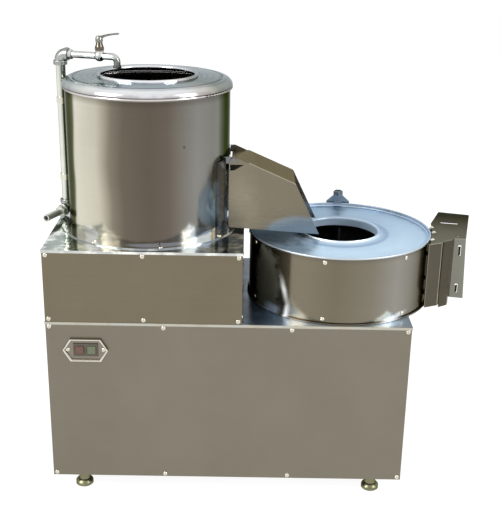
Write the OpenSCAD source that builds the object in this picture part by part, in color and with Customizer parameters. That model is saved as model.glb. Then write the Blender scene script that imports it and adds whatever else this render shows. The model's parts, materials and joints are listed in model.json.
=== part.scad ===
// Peeling and slicing machine for potatoes: a sheet-steel cabinet on levelling feet,
// a riser box with a round peeling drum, and a centrifugal slicer beside it.
// Millimetres. +Z is up, +Y points to the back, the origin is the middle of the floor footprint.

/* [Cabinet] */
// Width of the cabinet, left to right
cabinet_w = 800; // [796:2:840]
// Depth of the cabinet, front to back
cabinet_d = 430; // [428:2:460]
// Height of the cabinet's sides
cabinet_h = 384; // [376:2:420]
// Height of the levelling feet under the cabinet
foot_h = 40; // [36:1:55]
// Radius of a foot's pad
foot_r = 20; // [16:1:23]
// Distance of a foot's axis from the cabinet's side
foot_in_x = 65; // [62:1:80]
// Distance of a foot's axis from the cabinet's front or back
foot_in_y = 31; // [27:1:36]
// Thickness of the side panels
sheet_t = 1.5; // [1.2:0.1:2]
// Thickness of the plate on top of the cabinet
deck_t = 3; // [2.5:0.5:5]
// Height of the folded lips round the top plates
lip_h = 6; // [5:0.5:7]
// Width of the riser box under the drum
riser_w = 428; // [424:1:434]
// Height of the riser box
riser_h = 165; // [160:1:190]
// Leg width of the corner posts
post_leg = 40; // [30:1:44]
// Leg width of the bottom rails
rail_leg = 50; // [46:1:56]
// Leg width of the top rails
top_leg = 30; // [25:1:34]
// Thickness of the frame's angle steel
angle_t = 4; // [3:0.5:5]
// Radius of a panel screw's head
screw_r = 4.5; // [3.5:0.5:5]

/* [Switch] */
// Distance of the switch from the cabinet's left side
switch_in = 86.2; // [80:1:110]
// Depth of the switch's middle below the cabinet's top
switch_down = 64.5; // [62:0.5:76]
// Width of the six-sided guard plate, point to point
guard_w = 99; // [92:1:110]
// Height of the guard plate
guard_h = 52; // [46:1:58]
// Thickness of the guard plate's floor
guard_t = 2; // [1.5:0.5:3]
// How far the guard plate's rim stands off the panel
guard_rim_h = 8; // [6:0.5:10]
// Width of the two-button block
block_w = 54; // [50:1:58]
// Height of the two-button block
block_h = 30; // [27:1:33]
// Side of a square push button
button_side = 19; // [16:0.5:21]
// Travel of a push button
button_travel = 3; // [2:0.5:4]

/* [Peeling drum] */
// Distance of the drum's axis from the cabinet's left side
drum_in = 211; // [208:1:214]
// Outer radius of the drum
drum_r = 183; // [179:1:185]
// Height of the drum's wall
drum_h = 316; // [300:2:360]
// Thickness of the drum's wall
drum_t = 2; // [1.5:0.5:2.5]
// Width of the flange ring that the drum stands on
flange_w = 20; // [17:1:22]
// Thickness of the flange ring
flange_t = 2.5; // [2:0.5:4]
// Radius of the rolled bead at the drum's top
bead_r = 3; // [2:0.5:3.5]
// Radius of the feed mouth in the lid
mouth_r = 103; // [95:1:112]
// Rise of the lid's shoulder above the bead
shoulder_h = 17; // [14:1:22]
// Thickness of the abrasive lining
lining_t = 4; // [3:0.5:5]
// Width of the discharge window
window_w = 100; // [90:1:102]
// Height of the discharge window
window_h = 105; // [90:1:110]
// Lift of the discharge gate
gate_lift = 100; // [80:1:110]

/* [Peeling disc] */
// Gap between the disc's rim and the drum's wall
disc_gap = 5; // [4:0.5:8]
// Thickness of the peeling disc
disc_t = 8; // [6:1:12]
// Number of raised waves on the disc
wave_count = 3; // [2:1:5]
// Height of the waves
wave_h = 12; // [8:1:16]
// Radius of the peeler's shaft
shaft_r = 15; // [14:0.5:16]

/* [Slicer] */
// Distance of the slicer's axis from the cabinet's right side
slicer_in = 147.5; // [145:0.5:152]
// Outer radius of the slicer's housing
slicer_r = 209; // [202:1:210]
// Height of the slicer's lid above the cabinet
slicer_h = 156; // [150:1:176]
// Height of the rim round the lid
rim_h = 9; // [7:0.5:11]
// Radius of the feed opening in the lid
feed_r = 87.5; // [80:0.5:92]
// Radius at which the feed collar rises from the lid
collar_r = 114; // [108:1:122]
// Depth of the feed collar under the lid
collar_d = 12; // [10:1:16]
// Number of vanes on the rotor
vane_count = 4; // [3:1:5]
// Height of the vanes
vane_h = 104; // [90:1:108]
// Radius of the slicer's shaft
spindle_r = 12.5; // [11.5:0.5:13]

/* [Outlet] */
// Turn of the outlet about the slicer's axis
outlet_turn = -11.5; // [-15:0.5:-8]
// Distance of the outlet's outer side from the slicer's axis
outlet_reach = 290; // [282:1:300]
// Length of the outlet's roof behind the knife
outlet_back = 190; // [150:1:200]
// Travel of the thickness plate
slice_max = 6; // [4:0.5:8]
// Thickness of the outlet's sheet
guard_sheet = 2; // [1.5:0.5:2.5]

/* [Discharge hood] */
// Width of the hood, outside
hood_w = 126; // [124:1:132]
// Reach of the hood from the drum's side
hood_reach = 206; // [192:1:208]
// Thickness of the hood's sheet
hood_t = 2; // [1.5:0.5:2.5]
// Height of the hood's hinge pin above the riser
hinge_up = 164; // [160:1:180]
// Radius of the hinge pin
pin_r = 3.5; // [3:0.5:4]

/* [Drive] */
// Pitch radius of the peeler's pulley
peeler_pitch_r = 125; // [110:1:130]
// Pitch radius of the slicer's pulley
slicer_pitch_r = 90; // [80:1:100]
// Pitch radius of the motor's pulleys
motor_pitch_r = 40; // [36:1:44]
// Width of a belt at its outer face
belt_w = 13; // [12:0.5:14]
// Height of a belt
belt_h = 8; // [7:0.5:9]
// Radius of the motor's body
motor_r = 66; // [60:1:72]
// Length of the motor's body
motor_len = 165; // [140:5:170]

/* [Water] */
// Outer radius of the water pipe
pipe_r = 10.65; // [9:0.05:11]
// Gap between the pipe and the drum
pipe_gap = 8.4; // [7.6:0.1:10]
// Turn of the pipe's place round the drum, from the right-hand side
pipe_turn = 169.4; // [165:0.1:175]
// Height of the tap's arm above the riser
tap_up = 376; // [370:1:420]
// Length of the tap's arm, from the pipe to the spout
tap_len = 137; // [125:1:145]
// Length of the hose tail
tail_len = 90; // [70:1:100]

/* [Hidden] */
$fn = 64;

cut = 1;              // how far a cutter runs past what it cuts
fit = 0.3;            // gap between curved pieces that lie beside each other
run_fit = 0.05;       // radial clearance of a shaft in its bearing
seat_gap = 0.05;      // gap between flat faces that are bolted together
bolt_r = 4;           // shank radius of the machine's larger bolts
bolt_cut = 60;        // length of the cutter for a bolt's hole
screw_shank_r = 2;    // shank radius of a panel screw
screw_hole_r = 2.1;   // radius of the hole for it

// Levels
deck_z = foot_h + cabinet_h;
riser_z = deck_z + riser_h;
drum_foot_z = riser_z + flange_t;
drum_top = riser_z + drum_h;
lid_z = deck_z + slicer_h;      // top of the slicer's rim

// Plan: the origin is the middle of the whole footprint
outlet_flare = 7.5;             // how far the outlet's roof widens towards the back
slicer_outlet_x = (outlet_reach + outlet_flare) * cos(outlet_turn) - outlet_back * sin(outlet_turn);
right_over = slicer_outlet_x - slicer_in;
pipe_axis_r = drum_r + pipe_gap + pipe_r;
tail_turn = -112;               // direction in which the hose tail points
tail_r = 8;                     // outer radius of the hose tail
left_over = pipe_axis_r * -cos(pipe_turn) - drum_in - tail_len * cos(tail_turn) + tail_r;
drain_out = 45;                 // how far the drain spout stands out behind
front_over = guard_rim_h;
left_x = -(cabinet_w + right_over - left_over) / 2;
front_y = -(cabinet_d + drain_out - front_over) / 2;
mid_x = left_x + cabinet_w / 2;
mid_y = front_y + cabinet_d / 2;
drum_x = left_x + drum_in;
slicer_x = left_x + cabinet_w - slicer_in;
motor_x = (drum_x + slicer_x) / 2;
switch_x = left_x + switch_in;
switch_z = deck_z - switch_down;

// Frame
inner_x = cabinet_w / 2 - sheet_t;
inner_y = cabinet_d / 2 - sheet_t;
under_deck = deck_z - deck_t;
motor_rail_z = foot_h + 184;    // top of the bars that carry the motor
motor_rail_gap = 170;           // distance between the two motor bars
motor_rail_leg = 30;
motor_rail_end = inner_y - angle_t - fit;
screw_drop = 11;                // panel screws below a top edge
screw_rise = 7;                 // panel screws above a bottom edge
screw_end = 8;                  // panel screws from a side edge
screw_head_h = 2.2;

// Shafts and bearings
disc_z = riser_z + 8;
disc_r = drum_r - drum_t - disc_gap;
nut_h = 20;
bearing_w = 16;
bearing_r = shaft_r + 16;
spindle_bearing_r = spindle_r + 13.5;
housing_r = bearing_r + 9;
spindle_housing_r = spindle_bearing_r + 9;
housing_top = riser_z - 12;
housing_bottom = deck_z - 94;
spindle_bottom = deck_z - 94;
spindle_seat_z = under_deck - bearing_w - 4;
housing_flange_r = 70;
housing_flange_t = 12;
housing_bolt_r = 57;            // bolt circle radius of both housings' flanges
neck_r = 24;
neck_up = 11;
shaft_bottom = housing_bottom - 48;
rotor_z = deck_z + 16;
rotor_t = 6;
rotor_r = slicer_r - 9;
hub_r = 44;
hub_h = 34;

// Belts
belt_in_w = belt_w * 0.6;
peeler_belt_z = housing_bottom - 16;
slicer_belt_z = peeler_belt_z - 21;
belt_gap = 0.4;                 // gap between a belt and its groove
belt_lap = 0.05;                // overlap of a belt's runs and arcs, so that they join
groove_wall = 4;                // rim beside a groove

// Peeler
liner_r = drum_r - drum_t - 0.1;
window_z = disc_z + disc_t + 4;
gate_wall = 2;
gate_r = drum_r + fit;
gate_edge = asin((window_w / 2 + 7) / drum_r);
lid_r = drum_r + 2 * bead_r - 0.5;
lid_foot_z = drum_top + bead_r + 0.2;
shoulder_w = 20;
lid_top = lid_foot_z + shoulder_h;
lip_r = 4.5;
ring_screw_count = 8;

// Slicer
base_ring_t = 4;
wall_top = lid_z - 1.8;
recess_z = lid_z - rim_h;
lid_t = 2;
slicer_screw_turns = [-159, -103.5, -51, 62, 122, 178];
slicer_window_z = deck_z + 20;
slicer_window_h = 120;
window_near = -32;              // window's edges along the wall, from the outlet's middle line
window_far = 62;

// Panels and fittings
stem_r = 6;
vent_count = 9;
vent_pitch = 14;
gland_in = 90;
gland_up = 78;
gland_r = 10;
button_off = 13;

// Waste pan
pan_r = drum_r - drum_t - 6;
drain_r = 25;
drain_wall = 2;
pan_top = riser_z - sheet_t;
pan_depth = 62;
pan_hub_r = housing_r + 9;

// Gate and hood
guide_top = window_z + gate_lift + 21;  // top of the channels beside the gate
frame_gap = gate_wall + 0.6;    // height of the spacers under the gate's frame
frame_r = gate_r + frame_gap;
frame_t = 1.5;
frame_in = gate_edge + 1.75;    // turn at which the frame's side plate leaves the channel
frame_out = 31;                 // turn of the frame's outer edge
frame_foot = drum_foot_z + fit;
tongue_w = 32;
tongue_h = 162;                 // top of the tongue above the window's sill
hinge_x = 193;                  // distance of the hinge pin from the drum's axis
hinge_z = riser_z + hinge_up;
lug_t = 3;
hood_start = drum_r - 0.5;     // x of the cheeks' near edge, from the drum's axis
hood_top = hinge_z - 6;          // top of the roof's level strip
hood_bend = hood_start + 46;    // x of the fold between the level strip and the slope
hood_corner = [hood_start + 149, hood_top - 45];
hood_end = hood_start + hood_reach;
roof_near = gate_r + gate_wall + 3;     // x of the roof's near edge

// Slicer's inside and outlet
collar_top = recess_z + rim_h - 1;
vane_t = 5;
vane_arc_r = 130;
vane_in_r = 96;
knife_edge = [slicer_r - 5.9, 37];      // plan place of the cutting edge, in the outlet's frame
knife_turn = 6;                         // turn of the blade off the tangent
knife_t = 2;
knife_w = 40;
knife_h = slicer_window_h - 8;
knife_z = slicer_window_z + 4;
knife_bolt_zs = [20, knife_h / 2, knife_h - 20];
stud_r = 5;
bracket_u = outlet_reach - 58;  // distance of the bracket from the slicer's axis
bracket_w = 24;
bracket_t = 6;
stud_foot = 1.2;                // depth of the stud's foot in the thickness plate
stud_nut_at = bracket_u + bracket_t + fit;
stud_nut_h = 8;
stud_end = outlet_reach - 35 - slice_max;   // clear of the guard's folds at full travel
stud_zs = [slicer_window_z + 30, slicer_window_z + slicer_window_h - 30];
roof_z = lid_z - 2;
outlet_bolt_turns = [14.5, 5, -9.4];
flap_w = 26.5;                  // width of the outlet's front flap
flap_lean = 4.5;                // how far the flap widens towards its foot
flap_foot = deck_z + 9;
flap_slots = [[deck_z + 22, 22], [deck_z + 112, 26]];   // foot and height of the flap's slots
slot_w = 6.5;
slot_u = outlet_reach - 16.5;
joggle_u = outlet_reach - flap_w - 4;   // the guard steps back here to pass behind the flap
guard_folds = [[slicer_r - 2, -44], [slicer_r - 1, -57], [outlet_reach - 53, -36],
    [outlet_reach - 50, -27], [joggle_u, -7.5], [joggle_u, -0.7], [joggle_u + 12, -0.7]];
guard_drop = 9;                 // reach of the outermost panel below the deck's top
clamp_turn = 86.4;
clamp_r = slicer_r + 9;
clamp_top = lid_z + 18;
knob_r = 11;

// Motor
motor_plate_z = motor_rail_z + seat_gap;
motor_plate_t = 8;
motor_plate_d = 180;            // depth of the plate, front to back
motor_plate_over = 25;          // how far the plate runs past the bars' corners
motor_hole_r = 30;
motor_bolt_y = 60;
motor_bolt_x = 16;              // distance of a motor bolt from its bar's corner
motor_flange_t = 10;
motor_flange_r = 76;
motor_shaft_r = 12;
motor_bore = 40;                // depth of the bore that holds the shaft
motor_top = motor_plate_z;

// Water
pipe_bore_r = pipe_r - 2.6;
fitting_r = pipe_r + 3.5;
foot_elbow_z = drum_foot_z + fitting_r + fit;
tap_z = riser_z + tap_up;
tap_turn = -15.7;
clip_zs = [riser_z + 88, riser_z + 266];
valve_at = 0.7;                 // place of the valve along the arm
bonnet_h = 30;
lever_len = 45;

module at_cabinet() translate([mid_x, mid_y, 0]) children();
module at_drum() translate([drum_x, mid_y, 0]) children();
module at_slicer() translate([slicer_x, mid_y, 0]) children();
module at_outlet() at_slicer() rotate([0, 0, outlet_turn]) children();
module at_motor() translate([motor_x, mid_y, 0]) children();
module at_pipe() at_drum() rotate([0, 0, pipe_turn]) translate([pipe_axis_r, 0, 0])
    rotate([0, 0, -pipe_turn]) children();

// A ring with its foot at z = 0
module ring(outer, inner, h) {
    difference() {
        cylinder(r = outer, h = h);
        translate([0, 0, -cut]) cylinder(r = inner, h = h + 2 * cut);
    }
}

// An angle bar along +X with its corner on the X axis, legs along +Y and +Z
module angle_bar(len, leg, t) {
    rotate([90, 0, 90]) linear_extrude(len)
        polygon([[0, 0], [leg, 0], [leg, t], [t, t], [t, leg], [0, leg]]);
}

// Copies on both sides of a plane through the origin
module both_sides(normal) {
    children();
    mirror(normal) children();
}

// ---- Screws ----------------------------------------------------------------

// Columns of panel screws along a face of the given width
function four_columns(w) = [-w / 2 + screw_end, -w / 2 + 257, w / 2 - 262, w / 2 - screw_end];
function three_columns(w) = [-w / 2 + screw_end, 0, w / 2 - screw_end];

// A pan-head screw whose head sits on z = 0 and points up
module pan_screw(grip) {
    rotate_extrude() polygon([[0, -grip], [screw_shank_r, -grip], [screw_shank_r, 0],
        [screw_r, 0], [screw_r, screw_head_h * 0.45], [screw_r * 0.75, screw_head_h * 0.9],
        [screw_r * 0.35, screw_head_h], [0, screw_head_h]]);
}

// Puts its children at each panel screw, outwards along +Z of the child
module cabinet_face_screws(columns, zs) {
    for (x = columns, z = zs) translate([x, 0, z]) rotate([90, 0, 0]) children();
}

module front_screw_places() {
    translate([mid_x, front_y, 0])
        cabinet_face_screws(four_columns(cabinet_w), [foot_h + screw_rise, deck_z - screw_drop])
            children();
}

module back_screw_places() {
    translate([mid_x, front_y + cabinet_d, 0]) mirror([0, 1, 0])
        cabinet_face_screws(four_columns(cabinet_w), [foot_h + screw_rise, deck_z - screw_drop])
            children();
}

module side_screw_places() {
    at_cabinet() both_sides([1, 0, 0]) translate([cabinet_w / 2, 0, 0]) rotate([0, 0, 90])
        cabinet_face_screws(three_columns(cabinet_d - 40),
            [foot_h + screw_rise, deck_z - screw_drop]) children();
}

module riser_front_screw_places() {
    translate([left_x + riser_w / 2, front_y, 0])
        cabinet_face_screws(three_columns(riser_w), [deck_z + screw_rise, riser_z - screw_drop])
            children();
}

module riser_side_screw_places() {
    translate([left_x + riser_w / 2, mid_y, 0]) both_sides([1, 0, 0])
        translate([riser_w / 2, 0, 0]) rotate([0, 0, 90])
            cabinet_face_screws(three_columns(cabinet_d - 40),
                [deck_z + screw_rise, riser_z - screw_drop]) children();
}

module drum_ring_screw_places() {
    at_drum() for (i = [0:ring_screw_count - 1])
        rotate([0, 0, i * 360 / ring_screw_count - 78])
            translate([drum_r + flange_w * 0.6, 0, drum_foot_z]) children();
}

module slicer_wall_screw_places() {
    at_slicer() for (a = slicer_screw_turns, z = [deck_z + 12, lid_z - 13])
        rotate([0, 0, a]) translate([slicer_r, 0, z]) rotate([0, 90, 0]) children();
}

module guard_screw_places() {
    for (s = [-1, 1]) translate([switch_x + s * guard_w * 0.4, front_y - guard_t, switch_z])
        rotate([90, 0, 0]) children();
}

module screw_hole() translate([0, 0, -8]) cylinder(r = screw_hole_r, h = 16);

module panel_screws() color("gainsboro") {
    front_screw_places() pan_screw(sheet_t);
    back_screw_places() pan_screw(sheet_t);
    side_screw_places() pan_screw(sheet_t);
    riser_front_screw_places() pan_screw(sheet_t);
    riser_side_screw_places() pan_screw(sheet_t);
    drum_ring_screw_places() pan_screw(flange_t);
    slicer_wall_screw_places() translate([0, 0, 0.1]) pan_screw(drum_t);
    guard_screw_places() pan_screw(guard_t + sheet_t);
}

// ---- Frame and panels ------------------------------------------------------

module frame_posts() color("dimgray") at_cabinet()
    both_sides([1, 0, 0]) both_sides([0, 1, 0]) translate([-inner_x, -inner_y, foot_h])
        linear_extrude(under_deck - foot_h) polygon([[0, 0], [post_leg, 0], [post_leg, angle_t],
            [angle_t, angle_t], [angle_t, post_leg], [0, post_leg]]);

module frame_rails() color("dimgray") at_cabinet() {
    // Bottom and top bars along the sides, between the posts
    both_sides([1, 0, 0]) translate([-inner_x, inner_y - post_leg, 0]) rotate([0, 0, -90]) {
        translate([0, 0, foot_h]) angle_bar(2 * (inner_y - post_leg), rail_leg, angle_t);
        translate([0, 0, under_deck]) mirror([0, 0, 1])
            angle_bar(2 * (inner_y - post_leg), top_leg, angle_t);
    }
    // Bottom and top bars along the front and back, between the side bars
    both_sides([0, 1, 0]) {
        difference() {
            translate([-inner_x + rail_leg + fit, -inner_y, foot_h])
                angle_bar(2 * (inner_x - rail_leg - fit), rail_leg, angle_t);
            foot_holes();
        }
        translate([-inner_x + post_leg, -inner_y, under_deck]) mirror([0, 0, 1])
            angle_bar(2 * (inner_x - post_leg), top_leg, angle_t);
        // Middle bar that carries the motor bars
        translate([-inner_x + post_leg, -inner_y, motor_rail_z - motor_rail_leg - angle_t - fit])
            angle_bar(2 * (inner_x - post_leg), motor_rail_leg, angle_t);
    }
    // Two bars from front to back under the motor plate
    translate([motor_x - mid_x, 0, 0]) difference() {
        both_sides([1, 0, 0])
            translate([motor_rail_gap / 2, motor_rail_end, motor_rail_z]) mirror([0, 0, 1])
                rotate([0, 0, -90]) angle_bar(2 * motor_rail_end, motor_rail_leg, angle_t);
        motor_bolt_places() cylinder(r = bolt_r + 0.1, h = bolt_cut, center = true);
    }
}

module foot_places() {
    for (x = [-1, 1], y = [-1, 1])
        translate([x * (cabinet_w / 2 - foot_in_x), y * (cabinet_d / 2 - foot_in_y), 0])
            children();
}

module foot_holes() foot_places() translate([0, 0, foot_h - cut])
    cylinder(r = stem_r + 0.3, h = angle_t + 2 * cut);

module base_tray() color("darkgray") at_cabinet() difference() {
    translate([-inner_x + angle_t + fit, -inner_y + angle_t + fit, foot_h + angle_t])
        cube([2 * (inner_x - angle_t - fit), 2 * (inner_y - angle_t - fit), sheet_t]);
    foot_places() translate([0, 0, foot_h]) cylinder(r = 14, h = 20);
    both_sides([1, 0, 0]) both_sides([0, 1, 0])
        translate([-inner_x - cut, -inner_y - cut, foot_h])
            cube([post_leg + cut + fit, angle_t + cut + 2, 20]);
}

module front_sheet(x, w, z, h) translate([x, front_y, z]) cube([w, sheet_t, h]);

module cabinet_front_panel() color("darkkhaki") difference() {
    front_sheet(left_x, cabinet_w, foot_h, cabinet_h - deck_t);
    front_screw_places() screw_hole();
    guard_screw_places() screw_hole();
    translate([switch_x - block_w / 2 - fit, front_y - cut, switch_z - block_h / 2 - fit])
        cube([block_w + 2 * fit, sheet_t + 2 * cut, block_h + 2 * fit]);
}

module cabinet_back_panel() color("darkkhaki") difference() {
    translate([left_x, front_y + cabinet_d - sheet_t, foot_h])
        cube([cabinet_w, sheet_t, cabinet_h - deck_t]);
    back_screw_places() screw_hole();
    for (i = [0:vent_count - 1], s = [-1, 1])
        translate([motor_x + s * 60 - 45, front_y + cabinet_d - sheet_t - cut,
                foot_h + 90 + i * vent_pitch])
            cube([90, sheet_t + 2 * cut, 4]);
    gland_place() cylinder(r = gland_r + 0.2, h = 20, center = true);
}

module cabinet_side_panels() color("darkkhaki") difference() {
    at_cabinet() both_sides([1, 0, 0]) translate([-cabinet_w / 2, -inner_y, foot_h])
        cube([sheet_t, 2 * inner_y, cabinet_h - deck_t]);
    side_screw_places() screw_hole();
}

// A top plate with folded lips outside the panels, its corner at the panels' outer corner
module lipped_plate(w, d, t) {
    difference() {
        translate([-sheet_t, -sheet_t, -lip_h]) cube([w + 2 * sheet_t, d + 2 * sheet_t, lip_h]);
        translate([0, 0, -lip_h - cut]) cube([w, d, lip_h + cut - t]);
    }
}

module deck_plate() color("lightsteelblue") difference() {
    translate([left_x, front_y, deck_z]) lipped_plate(cabinet_w, cabinet_d, deck_t);
    at_drum() translate([0, 0, under_deck - cut]) cylinder(r = housing_r + fit, h = deck_t + 2 * cut);
    at_drum() flange_bolts() cylinder(r = bolt_r + 0.1, h = bolt_cut, center = true);
    at_slicer() translate([0, 0, under_deck - cut]) cylinder(r = neck_r + fit, h = deck_t + 2 * cut);
    at_slicer() flange_bolts() cylinder(r = bolt_r + 0.1, h = bolt_cut, center = true);
}

module flange_bolts() for (i = [0:3]) rotate([0, 0, 45 + 90 * i])
    translate([housing_bolt_r, 0, deck_z]) children();

module riser_front_panel() color("darkkhaki") difference() {
    front_sheet(left_x, riser_w, deck_z, riser_h - sheet_t);
    riser_front_screw_places() screw_hole();
}

module riser_side_panels() color("darkkhaki") difference() {
    translate([left_x, front_y, deck_z]) {
        translate([0, sheet_t, 0]) cube([sheet_t, cabinet_d - 2 * sheet_t, riser_h - sheet_t]);
        translate([riser_w - sheet_t, sheet_t, 0])
            cube([sheet_t, cabinet_d - 2 * sheet_t, riser_h - sheet_t]);
        translate([0, cabinet_d - sheet_t, 0]) cube([riser_w, sheet_t, riser_h - sheet_t]);
    }
    riser_side_screw_places() screw_hole();
    drain_place() translate([0, 0, cabinet_d / 2]) cylinder(r = drain_r + fit, h = 20, center = true);
}

module riser_top_plate() color("lightsteelblue") difference() {
    translate([left_x, front_y, riser_z]) lipped_plate(riser_w, cabinet_d, sheet_t);
    at_drum() translate([0, 0, riser_z - 10]) cylinder(r = pan_r - 4, h = 20);
}

module levelling_feet() color("darkolivegreen") at_cabinet() foot_places() {
    rotate_extrude() polygon([[0, 0], [foot_r - 1.5, 0], [foot_r, 1.5], [foot_r, 9],
        [foot_r - 3, 13], [stem_r + 7, 16], [stem_r + 5, foot_h - 9], [stem_r, foot_h - 9],
        [stem_r, foot_h + angle_t + 14], [stem_r - 1, foot_h + angle_t + 15],
        [0, foot_h + angle_t + 15]]);
    translate([0, 0, foot_h - 9]) ring_nut(stem_r + 4.5, stem_r, 9);
    translate([0, 0, foot_h + angle_t]) ring_nut(stem_r + 4.5, stem_r, 9);
}

// A hexagon nut
module ring_nut(outer, inner, h) {
    difference() {
        cylinder(r = outer, h = h, $fn = 6);
        translate([0, 0, -cut]) cylinder(r = inner + 0.02, h = h + 2 * cut);
    }
}

// ---- Switch ----------------------------------------------------------------

module at_switch() translate([switch_x, front_y, switch_z]) rotate([90, 0, 0]) children();

// The guard's outline, shrunk by a margin
module guard_outline(margin) {
    flat = guard_w / 2 - 16;
    polygon([for (p = [[guard_w / 2, 0], [flat, guard_h / 2], [-flat, guard_h / 2],
            [-guard_w / 2, 0], [-flat, -guard_h / 2], [flat, -guard_h / 2]])
        [p[0] - sign(p[0]) * margin * (p[1] == 0 ? 1.15 : 1), p[1] - sign(p[1]) * margin]]);
}

module switch_plate() color("silver") difference() {
    at_switch() difference() {
        linear_extrude(guard_rim_h) guard_outline(0);
        translate([0, 0, guard_t]) linear_extrude(guard_rim_h) guard_outline(3);
        translate([0, 0, guard_t + 3]) linear_extrude(guard_rim_h) guard_outline(2);
        translate([-block_w / 2 - fit, -block_h / 2 - fit, -cut])
            cube([block_w + 2 * fit, block_h + 2 * fit, guard_t + 2 * cut]);
    }
    guard_screw_places() screw_hole();
}

module button_pocket(x)
    translate([x - button_side / 2 - fit, -button_side / 2 - fit, -9 - button_travel])
    cube([button_side + 2 * fit, button_side + 2 * fit, 30]);

module switch_body() color("dimgray") at_switch() difference() {
    translate([-block_w / 2, -block_h / 2, -40]) cube([block_w, block_h, 45]);
    button_pocket(-button_off);
    button_pocket(button_off);
}

// A square button with a domed, bevelled cap
module button_cap(x) at_switch() translate([x, 0, 0]) {
    translate([-button_side / 2, -button_side / 2, -8]) cube([button_side, button_side, 14]);
    translate([0, 0, 6]) linear_extrude(1.2)
        square([button_side - 2.4, button_side - 2.4], center = true);
}

module start_button() color("green") button_cap(button_off);
module stop_button() color("red") button_cap(-button_off);

module gland_place() translate([left_x + cabinet_w - gland_in, front_y + cabinet_d, foot_h + gland_up])
    rotate([-90, 0, 0]) children();

module cable_gland() color("black") gland_place() difference() {
    union() {
        translate([0, 0, -14]) cylinder(r = gland_r, h = 16);
        cylinder(r = 15, h = 6, $fn = 6);
        translate([0, 0, 6]) cylinder(r = 12, h = 14);
        translate([0, 0, -6 - sheet_t]) cylinder(r = 15, h = 6, $fn = 6);
    }
    translate([0, 0, -20]) cylinder(r = 5, h = 60);
}

// ---- Peeling drum ----------------------------------------------------------

// The block that cuts the discharge window through the drum's right side
module window_cutter(margin) translate([drum_r / 2, -window_w / 2 - margin, window_z - margin])
    cube([drum_r, window_w + 2 * margin, window_h + 2 * margin]);

module drum_wall() color("tan") at_drum() difference() {
    union() {
        translate([0, 0, drum_foot_z]) ring(drum_r, drum_r - drum_t, drum_top - drum_foot_z);
        translate([0, 0, drum_top]) rotate_extrude() translate([drum_r + bead_r - 0.5, 0])
            circle(r = bead_r);
    }
    window_cutter(0);
}

module drum_base_ring() color("silver") difference() {
    at_drum() translate([0, 0, riser_z]) ring(drum_r + flange_w, drum_r - drum_t, flange_t);
    drum_ring_screw_places() screw_hole();
}

// Points of the lid's skin at a given distance inside its outer face
function shoulder_arc(inset) = [for (a = [0:15:90])
    [lid_r - shoulder_w + (shoulder_w - inset) * cos(a),
        lid_foot_z + (shoulder_h - inset) * sin(a)]];
function lid_skin(inset) = concat(shoulder_arc(inset), [
    [lid_r - shoulder_w - 3, lid_top - 2 - inset],
    [lid_r - shoulder_w - 6, lid_top - inset],
    [(lid_r + mouth_r) / 2 - 6, lid_top + 1.5 - inset],
    [mouth_r + lip_r, lid_top + 2 - inset]]);

function reversed(list) = [for (i = [len(list) - 1:-1:0]) list[i]];

module drum_lid() color("lightgray") at_drum() {
    rotate_extrude() polygon(concat(lid_skin(0), reversed(lid_skin(lid_t))));
    translate([0, 0, lid_top + 3]) rotate_extrude() translate([mouth_r + lip_r, 0])
        circle(r = lip_r);
}

module abrasive_lining() color("saddlebrown") at_drum() difference() {
    translate([0, 0, window_z - 6]) ring(liner_r, liner_r - lining_t, drum_h - 60);
    window_cutter(3);
}

// Part of a ring about the drum, from one turn to another
module arc_strip(from, to, near, thick, low, high) rotate([0, 0, from])
    rotate_extrude(angle = to - from) translate([near, low]) square([thick, high - low]);

// A curved frame on the drum: it holds the gate in channels and reaches out past the hood
module gate_guides() color("silver") at_drum() {
    difference() {
        arc_strip(-frame_out, frame_out, frame_r, frame_t, frame_foot, hinge_z + 3);
        translate([0, -window_w / 2 - 5, frame_foot + 8]) cube([2 * drum_r, window_w + 10, guide_top]);
        // Room for the hood's lugs
        translate([0, -hood_w / 2 - 1, guide_top]) cube([2 * drum_r, hood_w + 2, guide_top]);
    }
    both_sides([0, 1, 0]) {
        // Spacers beside the gate and under the outer edge
        arc_strip(gate_edge + 0.3, gate_edge + 1.4, gate_r, frame_gap + 0.2, window_z - 10,
            guide_top - 1);
        arc_strip(frame_out - 1.4, frame_out - 0.2, gate_r, frame_gap + 0.2, frame_foot + 0.5,
            hinge_z + 2);
        // Gusset on the flange ring
        rotate([0, 0, frame_in + 2]) rotate([90, 0, 0]) linear_extrude(4, center = true)
            polygon([[frame_r + 0.7, frame_foot], [frame_r + 13, frame_foot],
                [frame_r + 13, frame_foot + 3], [frame_r + 4, frame_foot + 24],
                [frame_r + 0.7, frame_foot + 24]]);
    }
}

module discharge_gate() color("silver") at_drum() difference() {
    intersection() {
        translate([0, 0, window_z - 6]) ring(gate_r + gate_wall, gate_r, tongue_h + 6);
        translate([drum_r / 2, 0, 0]) {
            translate([0, -window_w / 2 - 7, window_z - 6])
                cube([drum_r, window_w + 14, window_h + 14]);
            // Tongue that reaches up through the gap over the hood
            translate([0, -tongue_w / 2, window_z]) cube([drum_r, tongue_w, tongue_h]);
        }
    }
    // Finger hole
    translate([drum_r / 2, 0, window_z + tongue_h - 12]) rotate([0, 90, 0])
        cylinder(r = 6, h = drum_r);
}

// ---- Hood ------------------------------------------------------------------

// The cheek's outline in x and z, from the drum's axis and the floor
function cheek() = [[hood_start, riser_z + 9], [hood_start, hood_top - 17],
    [hood_start + 12, hood_top - 17], [hood_bend - 6, hood_top], [hood_bend, hood_top],
    hood_corner, [hood_end, lid_z + 4.5]];

module hood_cheek() rotate([90, 0, 0]) linear_extrude(hood_t) polygon(cheek());

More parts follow.
